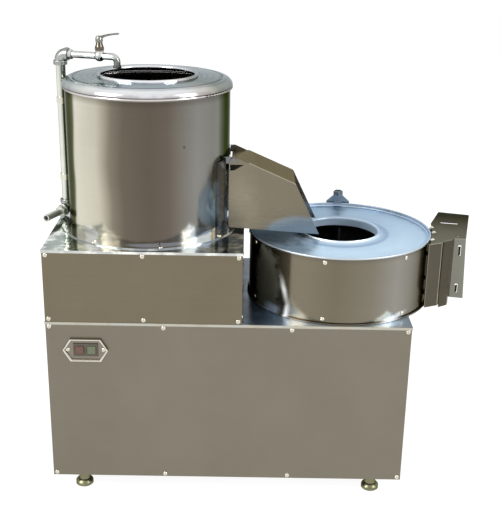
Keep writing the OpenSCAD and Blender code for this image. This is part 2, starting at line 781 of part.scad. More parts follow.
module hood_ear() rotate([90, 0, 0]) linear_extrude(hood_t) difference() {
    polygon([[hood_start, hood_top - 4], [hood_start, hood_top], [hinge_x - 7, hinge_z + 3],
        [hinge_x - 2, hinge_z + 7], [hinge_x + 3, hinge_z + 6], [hood_bend - 6, hood_top],
        [hood_bend - 6, hood_top - 4]]);
    translate([hinge_x, hinge_z]) circle(r = pin_r + run_fit);
}

module discharge_hood() color("darkkhaki") at_drum() {
    // Two cheeks with an ear each
    for (y = [-hood_w / 2 + hood_t, hood_w / 2]) translate([0, y, 0]) {
        hood_cheek();
        hood_ear();
    }
    // Roof: a level strip and a long slope, folded from one sheet
    translate([0, hood_w / 2 - hood_t, 0]) rotate([90, 0, 0]) linear_extrude(hood_w - 2 * hood_t)
        polygon([[roof_near, hood_top], [hood_bend, hood_top], hood_corner,
            hood_corner - [1, hood_t], [hood_bend - 0.5, hood_top - hood_t],
            [roof_near, hood_top - hood_t]]);
}

// Lugs on the drum, just inside the hood's ears, and their two pins
module hood_hinge() color("silver") at_drum() both_sides([0, 1, 0]) {
    translate([0, hood_w / 2 - hood_t - fit, 0]) rotate([90, 0, 0]) {
        difference() {
            linear_extrude(lug_t) difference() {
                polygon([[drum_r * cos(25), hinge_z - 8], [roof_near - 1.5, hinge_z - 8],
                    [hinge_x - 5, hinge_z - 5], [hinge_x, hinge_z - 5.2],
                    [hinge_x + 4.5, hinge_z - 3], [hinge_x + 6, hinge_z + 2],
                    [hinge_x, hinge_z + 7], [drum_r * cos(25), hinge_z + 7]]);
                translate([hinge_x, hinge_z]) circle(r = pin_r + run_fit);
            }
            // The lug's foot follows the drum's wall
            rotate([-90, 0, 0]) translate([0, -(hood_w / 2 - hood_t - fit), 0])
                translate([0, 0, hinge_z - 30]) cylinder(r = drum_r + 0.05, h = 60);
        }
    }
    translate([hinge_x, hood_w / 2 + 4, hinge_z]) rotate([90, 0, 0]) {
        translate([0, 0, 4 - fit]) cylinder(r = pin_r, h = hood_t + lug_t + 3);
        translate([0, 0, 4 - fit - 3]) cylinder(r = pin_r + 2.5, h = 3);
    }
}

// ---- Peeling disc and shaft ------------------------------------------------

module peeling_disc() color("sienna") at_drum() difference() {
    union() {
        translate([0, 0, disc_z]) cylinder(r = disc_r, h = disc_t);
        translate([0, 0, disc_z - 14]) cylinder(r = 32, h = 15);
        // Rounded waves that toss the potatoes
        intersection() {
            translate([0, 0, disc_z]) cylinder(r = disc_r - 3, h = disc_t + wave_h + 2);
            for (i = [0:wave_count - 1]) rotate([0, 0, i * 360 / wave_count + 30])
                translate([28, 0, disc_z + disc_t + wave_h - 30]) rotate([0, 90, 0])
                    cylinder(r = 30, h = disc_r);
        }
    }
    translate([0, 0, disc_z - 20]) cylinder(r = shaft_r + 0.02, h = disc_t + 60);
    translate([0, 0, disc_z + disc_t]) cylinder(r = 29, h = 40);
}

// A domed nut on a shaft's top end
module dome_nut(r, h, bore) difference() {
    rotate_extrude() polygon(concat([[0, 0], [r, 0], [r, h * 0.4]],
        [for (a = [15:15:90]) [r * cos(a), h * 0.4 + h * 0.6 * sin(a)]]));
    translate([0, 0, -cut]) cylinder(r = bore, h = h * 0.6 + cut);
}

module disc_nut() color("silver") at_drum() translate([0, 0, disc_z + disc_t])
    dome_nut(26, nut_h, shaft_r + 0.02);

module peeler_shaft() color("silver") at_drum() translate([0, 0, shaft_bottom])
    cylinder(r = shaft_r, h = disc_z + disc_t + nut_h * 0.55 - shaft_bottom);

module peeler_bearing_housing() color("slategray") at_drum() difference() {
    union() {
        translate([0, 0, housing_bottom]) cylinder(r = housing_r, h = housing_top - housing_bottom);
        translate([0, 0, deck_z]) cylinder(r = housing_flange_r, h = housing_flange_t);
        // Four webs brace the tube on its flange
        for (i = [0:3]) rotate([0, 0, 90 * i]) rotate([90, 0, 0]) translate([0, 0, -4])
            linear_extrude(8) polygon([[housing_r - 3, deck_z + housing_flange_t - 1],
                [housing_flange_r - 4, deck_z + housing_flange_t - 1],
                [housing_flange_r - 4, deck_z + housing_flange_t + 3],
                [housing_r - 3, deck_z + housing_flange_t + 40]]);
    }
    translate([0, 0, housing_bottom - cut])
        cylinder(r = bearing_r - 4, h = housing_top - housing_bottom + 2 * cut);
    for (z = [housing_bottom - cut, housing_top - bearing_w - 4])
        translate([0, 0, z]) cylinder(r = bearing_r + 0.02, h = bearing_w + 4 + cut);
    flange_bolts() cylinder(r = bolt_r + 0.1, h = bolt_cut, center = true);
}

module bearing(outer, inner) difference() {
    ring(outer, inner + run_fit, bearing_w);
    // Grooves between the races and the shields
    for (z = [-cut, bearing_w - 0.8]) translate([0, 0, z])
        ring(outer - 4, inner + 4, cut + 0.8);
}

module shaft_bearings() color("gainsboro") {
    at_drum() for (z = [housing_bottom + 3, housing_top - bearing_w - 4])
        translate([0, 0, z]) bearing(bearing_r, shaft_r);
    at_slicer() for (z = [spindle_bottom + 3, spindle_seat_z])
        translate([0, 0, z]) bearing(spindle_bearing_r, spindle_r);
}

// ---- Waste pan and drain ---------------------------------------------------

module drain_place() at_drum() translate([0, 0, pan_top - pan_depth + drain_r + 3])
    rotate([-90, 0, 0]) children();

module waste_pan() color("lightsteelblue") difference() {
    at_drum() rotate_extrude() polygon([
        [pan_r, pan_top], [pan_r - 10, pan_top], [pan_r - 10, pan_top - pan_depth + 2],
        [pan_hub_r, pan_top - pan_depth + 8], [pan_hub_r, pan_top - 16],
        [pan_hub_r - 2, pan_top - 16], [pan_hub_r - 2, pan_top - pan_depth + 6],
        [pan_r - 8, pan_top - pan_depth], [pan_r - 8, pan_top - 2], [pan_r, pan_top - 2]]);
    drain_place() translate([0, 0, pan_r / 2]) cylinder(r = drain_r - drain_wall, h = 200);
}

module drain_spout() color("lightsteelblue") at_drum() difference() {
    union() {
        drain_pipe(drain_r, 0);
        // Collar that a hose slips over
        translate([0, 0, pan_top - pan_depth + drain_r + 3]) rotate([-90, 0, 0])
            translate([0, 0, cabinet_d / 2 + drain_out - 20]) cylinder(r = drain_r + 1.5, h = 20);
    }
    drain_pipe(drain_r - drain_wall, cut);
    translate([0, 0, pan_top - 200]) cylinder(r = pan_r - 8 + 0.02, h = 300);
}

module drain_pipe(r, over) translate([0, 0, pan_top - pan_depth + drain_r + 3])
    rotate([-90, 0, 0]) translate([0, 0, pan_r / 2 - over])
        cylinder(r = r, h = cabinet_d / 2 + drain_out - pan_r / 2 + 2 * over);

// ---- Slicer ----------------------------------------------------------------

module slicer_window() translate([slicer_r / 2, window_near, slicer_window_z])
    cube([slicer_r, window_far - window_near, slicer_window_h]);

module slicer_base_ring() color("silver") at_slicer() translate([0, 0, deck_z])
    ring(slicer_r + 4, slicer_r - drum_t - 3, base_ring_t);

module slicer_housing() color("tan") difference() {
    at_slicer() translate([0, 0, deck_z + base_ring_t])
        ring(slicer_r, slicer_r - drum_t, wall_top - deck_z - base_ring_t);
    at_outlet() slicer_window();
    slicer_wall_screw_places() screw_hole();
}

// The collar's skin: a quarter round up to the feed opening and down its throat
function collar_skin(inset) = concat(
    [[collar_r + 8, recess_z - inset]],
    [for (a = [0:18:90]) [collar_r - (collar_r - feed_r - 5) * sin(a),
        recess_z - inset + (collar_top - recess_z) * (1 - cos(a))]],
    [for (a = [0:30:90]) [feed_r + inset + (5 - inset) * (1 - sin(a)),
        collar_top - 5 + (5 - inset) * cos(a)]],
    [[feed_r + inset, recess_z - collar_d]]);

module slicer_lid() color("lightsteelblue") difference() {
    at_slicer() {
        // Sheet from the rim to the feed collar
        rotate_extrude() polygon(concat(
            [[slicer_r - 4, recess_z]], collar_skin(0),
            reversed(collar_skin(lid_t)), [[slicer_r - 4, recess_z - lid_t]]));
        // Rim: a rounded channel over the wall's top edge, with a screw flange inside
        rotate_extrude() polygon([[slicer_r - drum_t - 0.2, recess_z - 12],
            [slicer_r - drum_t - 0.2, lid_z - 1.6], [slicer_r + 0.2, lid_z - 1.6],
            [slicer_r + 0.2, lid_z - 3.7], [slicer_r + 1.6, lid_z - 3.7], [slicer_r + 1.6, lid_z - 1.6],
            [slicer_r + 0.6, lid_z], [slicer_r - drum_t - 1, lid_z],
            [slicer_r - drum_t - 2, lid_z - 1], [slicer_r - drum_t - 2, recess_z - 12]]);
    }
    at_slicer() for (a = slicer_screw_turns) rotate([0, 0, a])
        translate([slicer_r - drum_t, 0, lid_z - 13]) rotate([0, 90, 0])
            cylinder(r = screw_hole_r, h = 16, center = true);
}

module slicer_rotor() color("silver") at_slicer() difference() {
    union() {
        translate([0, 0, rotor_z]) cylinder(r = rotor_r, h = rotor_t);
        translate([0, 0, rotor_z - 3]) cylinder(r = neck_r + 10, h = 4);
        translate([0, 0, rotor_z + rotor_t - 0.5])
            cylinder(r1 = hub_r + 24, r2 = hub_r, h = 6.5);
        translate([0, 0, rotor_z + rotor_t]) cylinder(r = hub_r, h = hub_h);
        // Curved vanes that push the potatoes round the wall
        intersection() {
            translate([0, 0, rotor_z + 1]) ring(rotor_r, vane_in_r, rotor_t + vane_h);
            for (i = [0:vane_count - 1]) rotate([0, 0, i * 360 / vane_count])
                intersection() {
                    translate([vane_in_r + 40, -vane_arc_r, 0])
                        translate([0, 0, rotor_z + rotor_t - 1])
                            ring(vane_arc_r, vane_arc_r - vane_t, vane_h);
                    translate([0, -60, 0]) cube([rotor_r, 70, deck_z + 200]);
                }
        }
    }
    translate([0, 0, rotor_z - 10]) cylinder(r = spindle_r + 0.02, h = 100);
    translate([0, 0, rotor_z - 10]) cylinder(r = neck_r + 2, h = 10);
}

module rotor_nut() color("silver") at_slicer() translate([0, 0, rotor_z + rotor_t + hub_h])
    dome_nut(22, 18, spindle_r + 0.02);

module slicer_shaft() color("silver") at_slicer() translate([0, 0, shaft_bottom - 16])
    cylinder(r = spindle_r, h = rotor_z + rotor_t + hub_h + 9 - shaft_bottom + 16);

module slicer_bearing_housing() color("slategray") at_slicer() difference() {
    union() {
        translate([0, 0, spindle_bottom])
            cylinder(r = spindle_housing_r, h = under_deck - spindle_bottom);
        translate([0, 0, under_deck - housing_flange_t])
            cylinder(r = housing_flange_r, h = housing_flange_t);
        translate([0, 0, under_deck - 1]) cylinder(r = neck_r, h = deck_t + neck_up + 1);
        for (i = [0:3]) rotate([0, 0, 90 * i]) rotate([90, 0, 0]) translate([0, 0, -4])
            linear_extrude(8) polygon([[spindle_housing_r - 3, under_deck - housing_flange_t + 1],
                [housing_flange_r - 4, under_deck - housing_flange_t + 1],
                [housing_flange_r - 4, under_deck - housing_flange_t - 3],
                [spindle_housing_r - 3, under_deck - housing_flange_t - 40]]);
    }
    translate([0, 0, spindle_bottom - cut]) cylinder(r = spindle_bearing_r - 4,
        h = spindle_seat_z - spindle_bottom + cut);
    translate([0, 0, spindle_bottom - cut])
        cylinder(r = spindle_bearing_r + 0.02, h = bearing_w + 3 + cut);
    translate([0, 0, spindle_seat_z]) cylinder(r = spindle_bearing_r + 0.02, h = bearing_w);
    translate([0, 0, spindle_seat_z]) cylinder(r = spindle_r + 2, h = 60);
    flange_bolts() cylinder(r = bolt_r + 0.1, h = bolt_cut, center = true);
}

// ---- Knife and outlet ------------------------------------------------------

// The knife's own frame: +Y runs from the edge to the blade's back, +X is outwards
module at_knife() at_outlet() translate([knife_edge[0], knife_edge[1], knife_z])
    rotate([0, 0, -knife_turn]) children();

module knife_blade() color("silver") at_knife() difference() {
    linear_extrude(knife_h)
        polygon([[0, 0], [knife_t, 7], [knife_t, knife_w], [0, knife_w]]);
    for (z = knife_bolt_zs) translate([-cut, 28, z]) rotate([0, 90, 0])
        cylinder(r = 3.2, h = knife_t + 2 * cut);
}

module knife_holder() color("dimgray") {
    // Wedge on the wall behind the window
    difference() {
        at_knife() translate([-40, 16, -4]) cube([40, 44, knife_h + 8]);
        at_slicer() cylinder(r = slicer_r + 0.05, h = deck_z + 300);
        at_knife() for (z = knife_bolt_zs) translate([-10, 28, z])
            rotate([0, 90, 0]) cylinder(r = 3.1, h = 20);
    }
    // Clamp bar and its three bolts
    at_knife() {
        difference() {
            translate([knife_t, 18, 0]) cube([6, 20, knife_h]);
            for (z = knife_bolt_zs) translate([0, 28, z])
                rotate([0, 90, 0]) cylinder(r = 3.1, h = 20);
        }
        for (z = knife_bolt_zs) translate([-5, 28, z]) rotate([0, 90, 0]) {
            cylinder(r = 3, h = knife_t + 6 + 5);
            translate([0, 0, knife_t + 6 + 5]) cylinder(r = 5.5, h = 4, $fn = 6);
        }
    }
}

// Curved plate that closes the window up to the knife, on two studs with nuts
module thickness_plate() color("lightgray") {
    at_outlet() intersection() {
        translate([0, 0, slicer_window_z + 1])
            ring(slicer_r + 1, slicer_r - drum_t, slicer_window_h - 2);
        translate([slicer_r / 2, window_near + 0.5, 0])
            cube([slicer_r, knife_edge[1] - 3.2 - window_near - 0.5, deck_z + 300]);
    }
    at_outlet() for (z = stud_zs) translate([slicer_r - stud_foot, 0, z]) rotate([0, 90, 0]) {
        cylinder(r = stud_r, h = stud_end - slicer_r + stud_foot);
        cylinder(r = 11, h = 6);
        translate([0, 0, stud_nut_at - slicer_r + stud_foot]) ring_nut(9, stud_r, stud_nut_h);
    }
}

// Three folded panels in front, a bolting flange, and the bracket that carries the studs
module outlet_guard() color("darkkhaki") at_outlet() difference() {
    union() {
        translate([0, 0, deck_z - guard_drop]) linear_extrude(roof_z - guard_sheet - deck_z + guard_drop)
            folded_strip(guard_folds, guard_sheet);
        // Bolting flange round the wall
        intersection() {
            translate([0, 0, roof_z - guard_sheet - 3]) cylinder(r = slicer_r + 15, h = 3);
            translate([slicer_r / 2, -46, 0]) cube([slicer_r, 110, deck_z + 300]);
        }
        // Stud bracket, a channel standing on the wall
        translate([bracket_u, -bracket_w / 2, slicer_window_z - 8])
            cube([bracket_t, bracket_w, slicer_window_h + 16]);
        for (z = [slicer_window_z - 8, slicer_window_z + slicer_window_h + 4])
            translate([slicer_r - 6, -bracket_w / 2, z])
                cube([bracket_u - slicer_r + 8, bracket_w, 4]);
    }
    cylinder(r = slicer_r + 0.05, h = deck_z + 300);
    // Room for the wall's base ring
    translate([0, 0, deck_z - 20]) cylinder(r = slicer_r + 4.4, h = 20.4 + base_ring_t);
    // The end behind the flap stops at the flap's foot
    translate([joggle_u + 1, -4, deck_z - 20]) cube([20, 12, flap_foot - deck_z + 20]);
    // Only the outermost panel hangs down past the deck's edge
    translate([slicer_r / 2, -70, deck_z - 20]) cube([outlet_reach - 50.5 - slicer_r / 2, 60, 19]);
    outlet_bolt_places() cylinder(r = 3.1, h = 20, center = true);
    for (z = stud_zs) translate([bracket_u - 10, 0, z]) rotate([0, 90, 0])
        cylinder(r = stud_r + run_fit, h = 30);
}

function unit(v) = v / norm(v);
function left_of(v) = [-v[1], v[0]];

// The points of a folded line, moved to its left by t
function shifted(points, t) = [for (i = [0:len(points) - 1])
    let (first = max(i, 1), last = min(i + 1, len(points) - 1),
        before = left_of(unit(points[first] - points[first - 1])),
        after = left_of(unit(points[last] - points[last - 1])),
        middle = unit(before + after))
    points[i] + middle * t / (middle * before)];

// Sheet folded along a line of plan points
module folded_strip(points, t) polygon(concat(points, reversed(shifted(points, t))));

module outlet_bolt_places() for (a = outlet_bolt_turns) rotate([0, 0, a])
    translate([slicer_r + 8, 0, roof_z]) children();

module outlet_cover() color("darkkhaki") at_outlet() {
    // Roof
    difference() {
        translate([0, 0, roof_z - guard_sheet]) linear_extrude(guard_sheet)
            polygon([[slicer_r + 2, -50], [slicer_r + 1, -57.5], [outlet_reach - 53, -37],
                [outlet_reach - 49.5, -28], [joggle_u + 0.5, -8.5], [outlet_reach - flap_w, -3],
                [outlet_reach - 1, -3], [outlet_reach + outlet_flare, outlet_back],
                [slicer_r + 14, outlet_back + 7], [slicer_r - 2, 97], [slicer_r + 2.4, 60]]);
        outlet_bolt_places() cylinder(r = 3.1, h = 20, center = true);
        // Long slot and small hole
        translate([outlet_reach - 60, 106, roof_z - 10]) cube([40, 11, 20]);
        translate([outlet_reach - 19, 19, roof_z - 10]) cylinder(r = 4, h = 20);
    }
    // Front flap, wider at its foot, with two upright slots
    difference() {
        flap_sheet([[outlet_reach - flap_w, flap_foot], [outlet_reach + flap_lean, flap_foot],
            [outlet_reach - 1, roof_z - 1], [outlet_reach - flap_w, roof_z - 1]], -3, guard_sheet);
        for (slot = flap_slots) translate([slot_u, -10, slot[0]]) cube([slot_w, 20, slot[1]]);
    }
    // The tongue that was cut out of each slot is bent inwards
    for (slot = flap_slots) translate([slot_u, 0, slot[0]]) linear_extrude(slot[1] - 5)
        polygon([[-1, -3], [0.6, -3], [slot_w - 0.8, 3.5], [slot_w - 2, 4.5], [-1, -1]]);
    // Outer side
    flap_sheet([[outlet_reach + flap_lean - guard_sheet, flap_foot],
        [outlet_reach + flap_lean, flap_foot], [outlet_reach - 1, roof_z - 1],
        [outlet_reach - 1 - guard_sheet, roof_z - 1]], -3, 120);
}

// A sheet with an outline in the outlet's u and z, from the given v
module flap_sheet(outline, v, depth) translate([0, v + depth, 0]) rotate([90, 0, 0])
    linear_extrude(depth) polygon(outline);

// A hexagon bolt with its head on z = 0 and a nut that ends the grip below
module hex_bolt(r, grip) {
    translate([0, 0, -grip - r * 2.4]) cylinder(r = r, h = grip + r * 2.4);
    cylinder(r = r * 1.85, h = r * 1.3, $fn = 6);
    translate([0, 0, -grip - r * 1.6]) ring_nut(r * 1.85, r, r * 1.6);
}

module motor_bolt_places() for (x = [-1, 1], y = [-1, 1])
    translate([x * (motor_rail_gap / 2 + motor_bolt_x), y * motor_bolt_y,
        motor_plate_z + motor_plate_t]) children();

module machine_bolts() color("gainsboro") {
    at_outlet() outlet_bolt_places() {
        hex_bolt(3, guard_sheet + 3);
        translate([0, 0, 3.9]) cylinder(r1 = 3.5, r2 = 2, h = 2);
    }
    at_drum() flange_bolts() translate([0, 0, housing_flange_t])
        hex_bolt(bolt_r, housing_flange_t + deck_t);
    at_slicer() flange_bolts() hex_bolt(bolt_r, housing_flange_t + deck_t);
    at_motor() motor_bolt_places() hex_bolt(bolt_r, motor_plate_t + seat_gap + angle_t);
}

// ---- Lid clamp -------------------------------------------------------------

module at_clamp() at_slicer() rotate([0, 0, clamp_turn]) translate([clamp_r, 0, 0]) children();

module lid_clamp_post() color("silver") difference() {
    at_clamp() {
        // Plate that narrows above the lid
        translate([-3, 0, 0]) rotate([90, 0, 90]) linear_extrude(6)
            polygon([[-29, lid_z - 60], [29, lid_z - 60], [29, lid_z + 2], [11, clamp_top],
                [-11, clamp_top], [-29, lid_z + 2]]);
        // Finger over the lid's rim
        translate([-18, -10, lid_z + 0.3]) cube([18, 20, 5]);
        // Foot against the housing's wall
        translate([-10, -20, lid_z - 55]) cube([10, 40, 10]);
        // Stud for the knob
        translate([0, 0, clamp_top]) cylinder(r = 2.8, h = 9);
    }
    at_slicer() translate([0, 0, deck_z]) cylinder(r = slicer_r + 0.05, h = lid_z - 7 - deck_z);
    at_slicer() translate([0, 0, lid_z - 8]) cylinder(r = slicer_r + 2, h = 8 + 0.2);
}

module lid_clamp_knob() color("black") at_clamp() translate([0, 0, clamp_top + fit])
    difference() {
        union() {
            cylinder(r = knob_r, h = 9);
            translate([0, 0, 9]) cylinder(r1 = knob_r, r2 = knob_r - 2, h = 2);
            for (i = [0:11]) rotate([0, 0, 30 * i]) translate([knob_r - 0.4, 0, 0])
                cylinder(r = 1.2, h = 9);
        }
        translate([0, 0, -cut]) cylinder(r = 2.8 + run_fit, h = 9.4 + cut);
    }

// ---- Motor and belts -------------------------------------------------------

module motor_body() color("steelblue") at_motor() difference() {
    union() {
        translate([0, 0, motor_top - motor_flange_t]) cylinder(r = motor_flange_r, h = motor_flange_t);
        translate([0, 0, motor_top - motor_len]) cylinder(r = motor_r - 8, h = motor_len);
        // Cooling fins
        for (i = [0:23]) rotate([0, 0, 15 * i])
            translate([motor_r - 10, -1.5, motor_top - motor_len + 30])
                cube([10, 3, motor_len - 36]);
        // Fan cowl
        translate([0, 0, motor_top - motor_len]) cylinder(r = motor_r, h = 34);
        // Terminal box
        translate([-35, -motor_r - 14, motor_top - 120]) cube([70, 30, 60]);
        // Shaft collar
        translate([0, 0, motor_top - 1]) cylinder(r = 26, h = 12);
    }
    translate([0, 0, motor_top - motor_bore])
        cylinder(r = motor_shaft_r + run_fit, h = 2 * motor_bore);
}

module motor_plate() color("dimgray") at_motor() difference() {
    translate([-motor_rail_gap / 2 - motor_plate_over, -motor_plate_d / 2, motor_plate_z])
        cube([motor_rail_gap + 2 * motor_plate_over, motor_plate_d, motor_plate_t]);
    translate([0, 0, motor_plate_z - cut]) cylinder(r = motor_hole_r, h = motor_plate_t + 2 * cut);
    motor_bolt_places() cylinder(r = bolt_r + 0.1, h = bolt_cut, center = true);
}

module motor_shaft() color("silver") at_motor() translate([0, 0, motor_top - motor_bore + 4])
    cylinder(r = motor_shaft_r, h = peeler_belt_z + 20 - motor_top + motor_bore - 4);

// A V pulley: grooves at the given heights, a web and a hub
module v_pulley(pitch, zs, bore, hub) {
    low = min(zs) - belt_w / 2 - groove_wall;
    high = max(zs) + belt_w / 2 + groove_wall;
    rim = pitch + belt_h / 2;
    rotate_extrude() difference() {
        translate([bore, low]) square([rim - bore, high - low]);
        for (z = zs) polygon([[rim + cut, z - belt_w / 2 - belt_gap],
            [rim + cut, z + belt_w / 2 + belt_gap],
            [rim, z + belt_w / 2 + belt_gap],
            [pitch - belt_h / 2 - 2, z + belt_in_w / 2 + belt_gap],
            [pitch - belt_h / 2 - 2, z - belt_in_w / 2 - belt_gap],
            [rim, z - belt_w / 2 - belt_gap]]);
        // Hollow on both faces beside the web
        if (pitch > hub + 40) for (s = [0, 1]) translate([hub, s == 0 ? low - cut : high - 7])
            square([pitch - hub - 16, 7 + cut]);
    }
}

module lightening_holes(pitch, z) for (i = [0:4]) rotate([0, 0, 72 * i])
    translate([pitch * 0.58, 0, z]) cylinder(r = pitch * 0.15, h = 80, center = true);

module peeler_pulley() color("dimgray") at_drum() difference() {
    v_pulley(peeler_pitch_r, [peeler_belt_z], shaft_r + 0.02, 34);
    lightening_holes(peeler_pitch_r, peeler_belt_z);
}

module slicer_pulley() color("dimgray") at_slicer() difference() {
    v_pulley(slicer_pitch_r, [slicer_belt_z], spindle_r + 0.02, 30);
    lightening_holes(slicer_pitch_r, slicer_belt_z);
}

module motor_pulley() color("dimgray") at_motor()
    v_pulley(motor_pitch_r, [slicer_belt_z, peeler_belt_z], motor_shaft_r + 0.02, 34);

module belt_section() polygon([[-belt_h / 2, -belt_in_w / 2], [belt_h / 2, -belt_w / 2],
    [belt_h / 2, belt_w / 2], [-belt_h / 2, belt_in_w / 2]]);

// An open belt from a pulley at the origin to a smaller one at x = span
module open_belt(big, small, span) {
    turn = acos((big - small) / span);
    rotate([0, 0, turn]) rotate_extrude(angle = 360 - 2 * turn)
        translate([big, 0]) belt_section();
    translate([span, 0, 0]) rotate([0, 0, -turn]) rotate_extrude(angle = 2 * turn)
        translate([small, 0]) belt_section();
    both_sides([0, 1, 0]) rotate([0, 0, turn]) translate([big, 0, 0]) rotate([0, 0, -90])
        translate([-belt_lap, 0, 0]) rotate([90, 0, 90])
            linear_extrude(span * sin(turn) + 2 * belt_lap) belt_section();
}

module drive_belts() color("black") {
    translate([drum_x, mid_y, peeler_belt_z])
        open_belt(peeler_pitch_r, motor_pitch_r, motor_x - drum_x);
    translate([slicer_x, mid_y, slicer_belt_z]) mirror([1, 0, 0])
        open_belt(slicer_pitch_r, motor_pitch_r, slicer_x - motor_x);
}

// ---- Water pipe and tap ----------------------------------------------------

module water_pipe() color("silver") at_pipe() translate([0, 0, foot_elbow_z + 10])
    ring(pipe_r, pipe_bore_r, tap_z - foot_elbow_z - 20);

// An elbow with a collar along +Z and one along +X, and a bore through both
module elbow() difference() {
    union() {
        sphere(r = fitting_r);
        cylinder(r = fitting_r, h = 22);
        translate([0, 0, 18]) cylinder(r = fitting_r + 1.5, h = 6);
        rotate([0, 90, 0]) {
            cylinder(r = fitting_r - 1, h = 20);
            translate([0, 0, 16]) cylinder(r = fitting_r + 0.5, h = 5);
        }
    }
    cylinder(r = pipe_bore_r, h = 40);
    translate([0, 0, 10]) cylinder(r = pipe_r + 0.02, h = 40);
    rotate([0, 90, 0]) cylinder(r = 5, h = 40);
}

module pipe_elbows() color("silver") at_pipe() {
    translate([0, 0, foot_elbow_z]) rotate([0, 0, tail_turn]) elbow();
    translate([0, 0, tap_z]) rotate([0, 0, tap_turn]) mirror([0, 0, 1]) elbow();
}

// Clips that hold the pipe off the drum
module pipe_clips() color("silver") for (z = clip_zs) difference() {
    union() {
        at_pipe() translate([0, 0, z]) cylinder(r = pipe_r + 2.5, h = 14);
        at_drum() rotate([0, 0, pipe_turn]) translate([drum_r - 6, -7, z])
            cube([pipe_gap + 10, 14, 14]);
    }
    at_pipe() translate([0, 0, z - cut]) cylinder(r = pipe_r + 0.02, h = 16);
    at_drum() cylinder(r = drum_r + 0.05, h = drum_top + 50);
}

module hose_tail() color("silver") at_pipe() translate([0, 0, foot_elbow_z])
    rotate([0, 0, tail_turn]) rotate([0, 90, 0]) difference() {
        union() {
            translate([0, 0, 21]) cylinder(r = fitting_r - 1, h = 11, $fn = 6);
            translate([0, 0, 32]) cylinder(r = tail_r - 0.8, h = tail_len - 32);
            for (i = [0:3]) translate([0, 0, 40 + i * 10])
                cylinder(r1 = tail_r, r2 = tail_r - 0.8, h = 8);
            translate([0, 0, tail_len - 8]) cylinder(r = tail_r, h = 8);
        }
        cylinder(r = 5.5, h = 200);
    }

module tap_body() color("silver") at_pipe() translate([0, 0, tap_z]) rotate([0, 0, tap_turn]) {
    rotate([0, 90, 0]) {
        translate([0, 0, 21]) cylinder(r = 11, h = 9, $fn = 6);
        translate([0, 0, 30]) cylinder(r = 7.5, h = tap_len - 30 - 12);
    }
    // Valve chamber and bonnet
    translate([tap_len * valve_at, 0, 0]) {
        sphere(r = 12);
        cylinder(r = 9, h = 20);
        translate([0, 0, 12]) cylinder(r = 11, h = 8, $fn = 6);
        translate([0, 0, 20]) cylinder(r1 = 9, r2 = 6.5, h = bonnet_h - 20);
        translate([0, 0, bonnet_h]) cylinder(r = 3, h = 12);
    }
    // Spout that bends down
    translate([tap_len - 12, 0, -12]) rotate([90, 0, 0]) rotate_extrude(angle = 90)
        translate([12, 0]) circle(r = 7.5);
    translate([tap_len, 0, -24]) difference() {
        cylinder(r = 7.5, h = 12);
        translate([0, 0, -cut]) cylinder(r = 5, h = 10);
    }
    translate([tap_len, 0, -24]) ring(9, 7, 5);
}

module tap_lever() color("silver") at_pipe()
    translate([0, 0, tap_z]) rotate([0, 0, tap_turn])
        translate([tap_len * valve_at, 0, bonnet_h + fit]) difference() {
            union() {
                cylinder(r = 8, h = 9);
                translate([0, 0, 9]) cylinder(r1 = 8, r2 = 5, h = 4);
                rotate([0, 0, 30]) rotate([90, 0, 0]) translate([0, 0, -4.5]) linear_extrude(9)
                    polygon([[0, 4], [lever_len * 0.6, 12], [lever_len, 15], [lever_len, 19],
                        [lever_len * 0.6, 16], [0, 12]]);
            }
            translate([0, 0, -cut]) cylinder(r = 3 + run_fit, h = 11.9 + cut);
        }

frame_posts();
frame_rails();
base_tray();
cabinet_front_panel();
cabinet_back_panel();
cabinet_side_panels();
deck_plate();
riser_front_panel();
riser_side_panels();
riser_top_plate();
panel_screws();
levelling_feet();
switch_plate();
switch_body();
start_button();
stop_button();
cable_gland();
drum_wall();
drum_base_ring();
drum_lid();
abrasive_lining();
gate_guides();
discharge_gate();
hood_hinge();
discharge_hood();
peeling_disc();
disc_nut();
peeler_shaft();
peeler_bearing_housing();
shaft_bearings();
peeler_pulley();
waste_pan();
drain_spout();
slicer_base_ring();
slicer_housing();
slicer_lid();
slicer_rotor();
rotor_nut();
slicer_shaft();
slicer_bearing_housing();
slicer_pulley();
knife_holder();
knife_blade();
thickness_plate();
outlet_guard();
outlet_cover();
machine_bolts();
lid_clamp_post();
lid_clamp_knob();
motor_body();
motor_plate();
motor_shaft();
motor_pulley();
drive_belts();
water_pipe();
pipe_elbows();
pipe_clips();
hose_tail();
tap_body();
tap_lever();
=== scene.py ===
# Potato peeling and slicing machine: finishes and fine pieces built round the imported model
import json
import math

import bmesh
import bpy
from mathutils import Matrix, Vector

